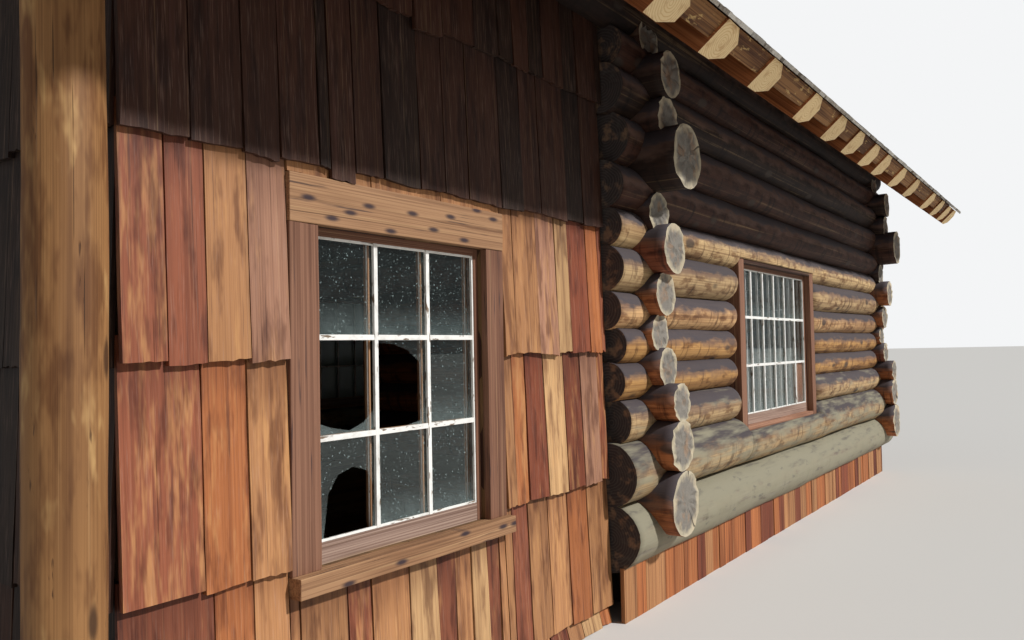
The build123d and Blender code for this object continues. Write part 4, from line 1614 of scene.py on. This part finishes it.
def main() -> None:
    """Builds the cabin's pieces in order, and the studio."""
    logging.basicConfig(level=logging.INFO, format="%(name)s %(message)s")
    noise.seed_set(NOISE_SEED)
    Studio().build()

    # Peeled logs: cream and golden bellies, charcoal where rain lies on top, dark runs below it
    log_side = Finish("Fir log, peeled and weathered", (
        *wood_layers(8, 26, 0.45, 0.6),
        Layer("#8a6850", 0.48, 0.66, 0.7, 150, 60, stains=True),
        Layer("#6b5a50", 0.54, 0.68, 0.7, 45, 420, stains=True),
        Layer("#3d332c", 0.2, 0.11, 0.85, 420, 190, Pattern.KNOT, relief_mm=1.5),
        Layer("#6b5348", 0.35, 0.8, 0.7, 200, 80, gate=Gate.UP, wander=1.1),
        Layer("#413c40", 0.62, 0.92, 0.93, 170, 55, gate=Gate.UP, wander=1.0),
        Layer("#938d76", 0.95, 1.3, 0.85, 380, 60, gate=Gate.GREY, wander=1.0),
        Layer("#5d5953", 1.4, 1.55, 0.7, 130, 50, gate=Gate.GREY, wander=1.0),
    )).build()
    # Axed and sawn log ends: grey rings, splintered pale rim. The ends that face the front room get a dark
    # body colour that is painted shade.
    # Rings lie 2 to 4 mm apart, which would not show, so all end grain has them drawn 15 mm apart
    ends = (
        Layer("#6d665e", -0.2, 1.0, 0.2, 1, 15, Pattern.RING),
        Layer("#4d4843", 0.5, 0.72, 0.7, 60, 55, relief_mm=-1.0),
        Layer("#9c7a5c", 0.5, 0.66, 0.5, 60, 90),
        Layer("#cbbd9f", 1.05, 1.4, 0.7, 60, 80, gate=Gate.RIM, wander=0.8, relief_mm=1.5),
        Layer("#1f1a16", 0.66, 0.7, 0.8, 1, 120, Pattern.SPOKE, relief_mm=-2.0),
    )
    log_end = Finish("Fir end grain, axed and grey", ends, body="#7f7970", roughness=0.85).build()
    stub_end_painted_shade = Finish("Fir end grain, sawn and dark", ends[:3], body="#383130", roughness=0.85).build()
    # Porch post: peeled pole, honey brown, kept dry by the eave
    post = Finish("Fir pole, peeled, honey brown", (
        *wood_layers(6, 24, 0.3, 0.8),
        Layer("#d9b276", 0.56, 0.76, 0.5, 260, 70),
        Layer("#8a5f3c", 0.48, 0.66, 0.6, 300, 60, stains=True),
        Layer("#3c2212", 0.66, 0.74, 0.85, 150, 26, relief_mm=-1.0),
        Layer("#3f2817", 0.17, 0.08, 0.9, 420, 130, Pattern.KNOT, relief_mm=1.5),
    ), roughness=0.6).build()
    # Split cedar shakes: silky faces in many reds and tans, each with straight grain
    shake = Finish("Red cedar shake, hand split", (
        *wood_layers(4, 12, 0.3, 0.5),
        Layer("#c8945e", 0.62, 0.86, 0.5, 240, 34, gate=Gate.GREY, wander=1.0),
        Layer("#7a5044", 0.48, 0.68, 0.6, 260, 50, stains=True),
        Layer("#c0a090", 0.52, 0.75, 0.15, 120, 5),
        Layer("#4a2f2a", 0.6, 0.74, 0.6, 500, 14),
        Layer("#7a4a3c", 0.86, 1.25, 0.5, 400, 50, gate=Gate.RIM, wander=0.5, stains=True),
        Layer("#b0948c", 1.0, 1.3, 0.5, 500, 60, gate=Gate.GREY, wander=1.2),
    ), roughness=0.6).build()
    # Roof shakes: the same wood after years of rain, silver
    roof_shake = Finish("Red cedar shake, rain silvered", (
        *wood_layers(7, 18, 0.5, 0.5),
        Layer("#c2beb5", 0.75, 1.25, 0.7, 300, 40, gate=Gate.GREY, wander=1.0),
        Layer("#77716a", 0.5, 0.7, 0.5, 180, 60),
    )).build()
    # Skirt boards: newer split cedar, orange
    skirt = Finish("Red cedar board, split, fresh", wood_layers(6, 18, 0.6, 0.4)).build()
    # Rafter poles: hewn with an axe, orange along their sides and cream where they were sawn off
    rafter = Finish("Fir pole, hewn", wood_layers(8, 34, 0.6, 0.3)).build()
    rafter_end = Finish("Fir end grain, fresh sawn", (
        Layer("#c4924f", 0.3, 1.0, 0.45, 1, 15, Pattern.RING),
        Layer("#b98a58", 0.5, 0.72, 0.5, 90, 60, relief_mm=-1.0),
    ), body="#efd3a1", roughness=0.8).build()
    # Blocks between the rafters: torn by the saw, with pale raised flakes that catch the light
    block = Finish("Fir block, rough sawn", (
        *wood_layers(6, 16, 0.8, 0.3),
        Layer("#e2bd7c", 0.58, 0.7, 0.6, 90, 30, relief_mm=3.0),
    )).build()
    # Casings: old planks, mauve brown or tan, with ink-dark stains below the nails
    casing = Finish("Cedar plank, old, nail stained", (
        *wood_layers(6, 20, 0.5, 0.5),
        Layer("#241d2a", 0.2, 0.05, 0.9, 240, 75, Pattern.NAIL, Gate.GREY, 1.0),
        Layer("#2e2328", 0.6, 0.7, 0.7, 420, 18),
    )).build()
    # Sash wood: fine straight streaks, mauve or grey where the paint is gone
    bare = Finish("Fir sash wood, sawn, bare", wood_layers(5, 14, 0.6, 0.4)).build()
    # Door: broad brown streaks and drying cracks that run the height of each plank
    door = Finish("Cedar door plank, sawn", wood_layers(6, 20, 0.5, 0.5)).build()
    # Sash paint: white oil paint that flakes down to grey wood
    paint = Finish("White oil paint, brushed and peeling", (
        Layer("#b3afa6", 0.45, 0.75, 0.5, 60, 30),
        Layer("#7d6b59", 0.62, 0.64, 1.0, 80, 16, relief_mm=-1.0),
    ), body="#ebe9e3", roughness=0.5).build()
    # Panes: near black, with a pale glare at a slant and grey specks of dust
    glass = DustyGlass().build()

    LogWalls(log_side, log_end, stub_end_painted_shade).build()
    RoundTimbers(post, log_side, log_end).build()
    ShakeCladding(shake).build()
    Windows(paint, bare, glass, casing).build()
    Roof(rafter, rafter_end, block, roof_shake).build()
    Boards(skirt, door).build()

    # Plain sawn boards: a slab's face breaks up into boards of slightly different browns with dark joints
    stud = SawnBoards("Fir wall board, rough sawn", "#4b3421", "#7d5f3f", 200, UP, EAST + NORTH).build()
    plain = {
        # The roof boards' dark red browns are partly painted shade of the eave's underside
        "roof_boards": SawnBoards("Fir roof board, sawn, red brown", "#3d2114", "#7a4a2b", 190, EAST,
                                  SLOPES[0].along).build(),
        "floors": SawnBoards("Fir floor board, worn", "#6b4d33", "#a5835c", 140, EAST, NORTH).build(),
        "foundation_piers": SawnBoards("Cedar block, split and grey", "#4a3f35", "#80705d", 300, UP,
                                       EAST + NORTH).build(),
        "wall_frames": stud,
        "gable_frames": stud,
        "door_linings": stud,
    }
    for node, material in plain.items():
        dress(node, material)


if __name__ == "__main__":
    main()
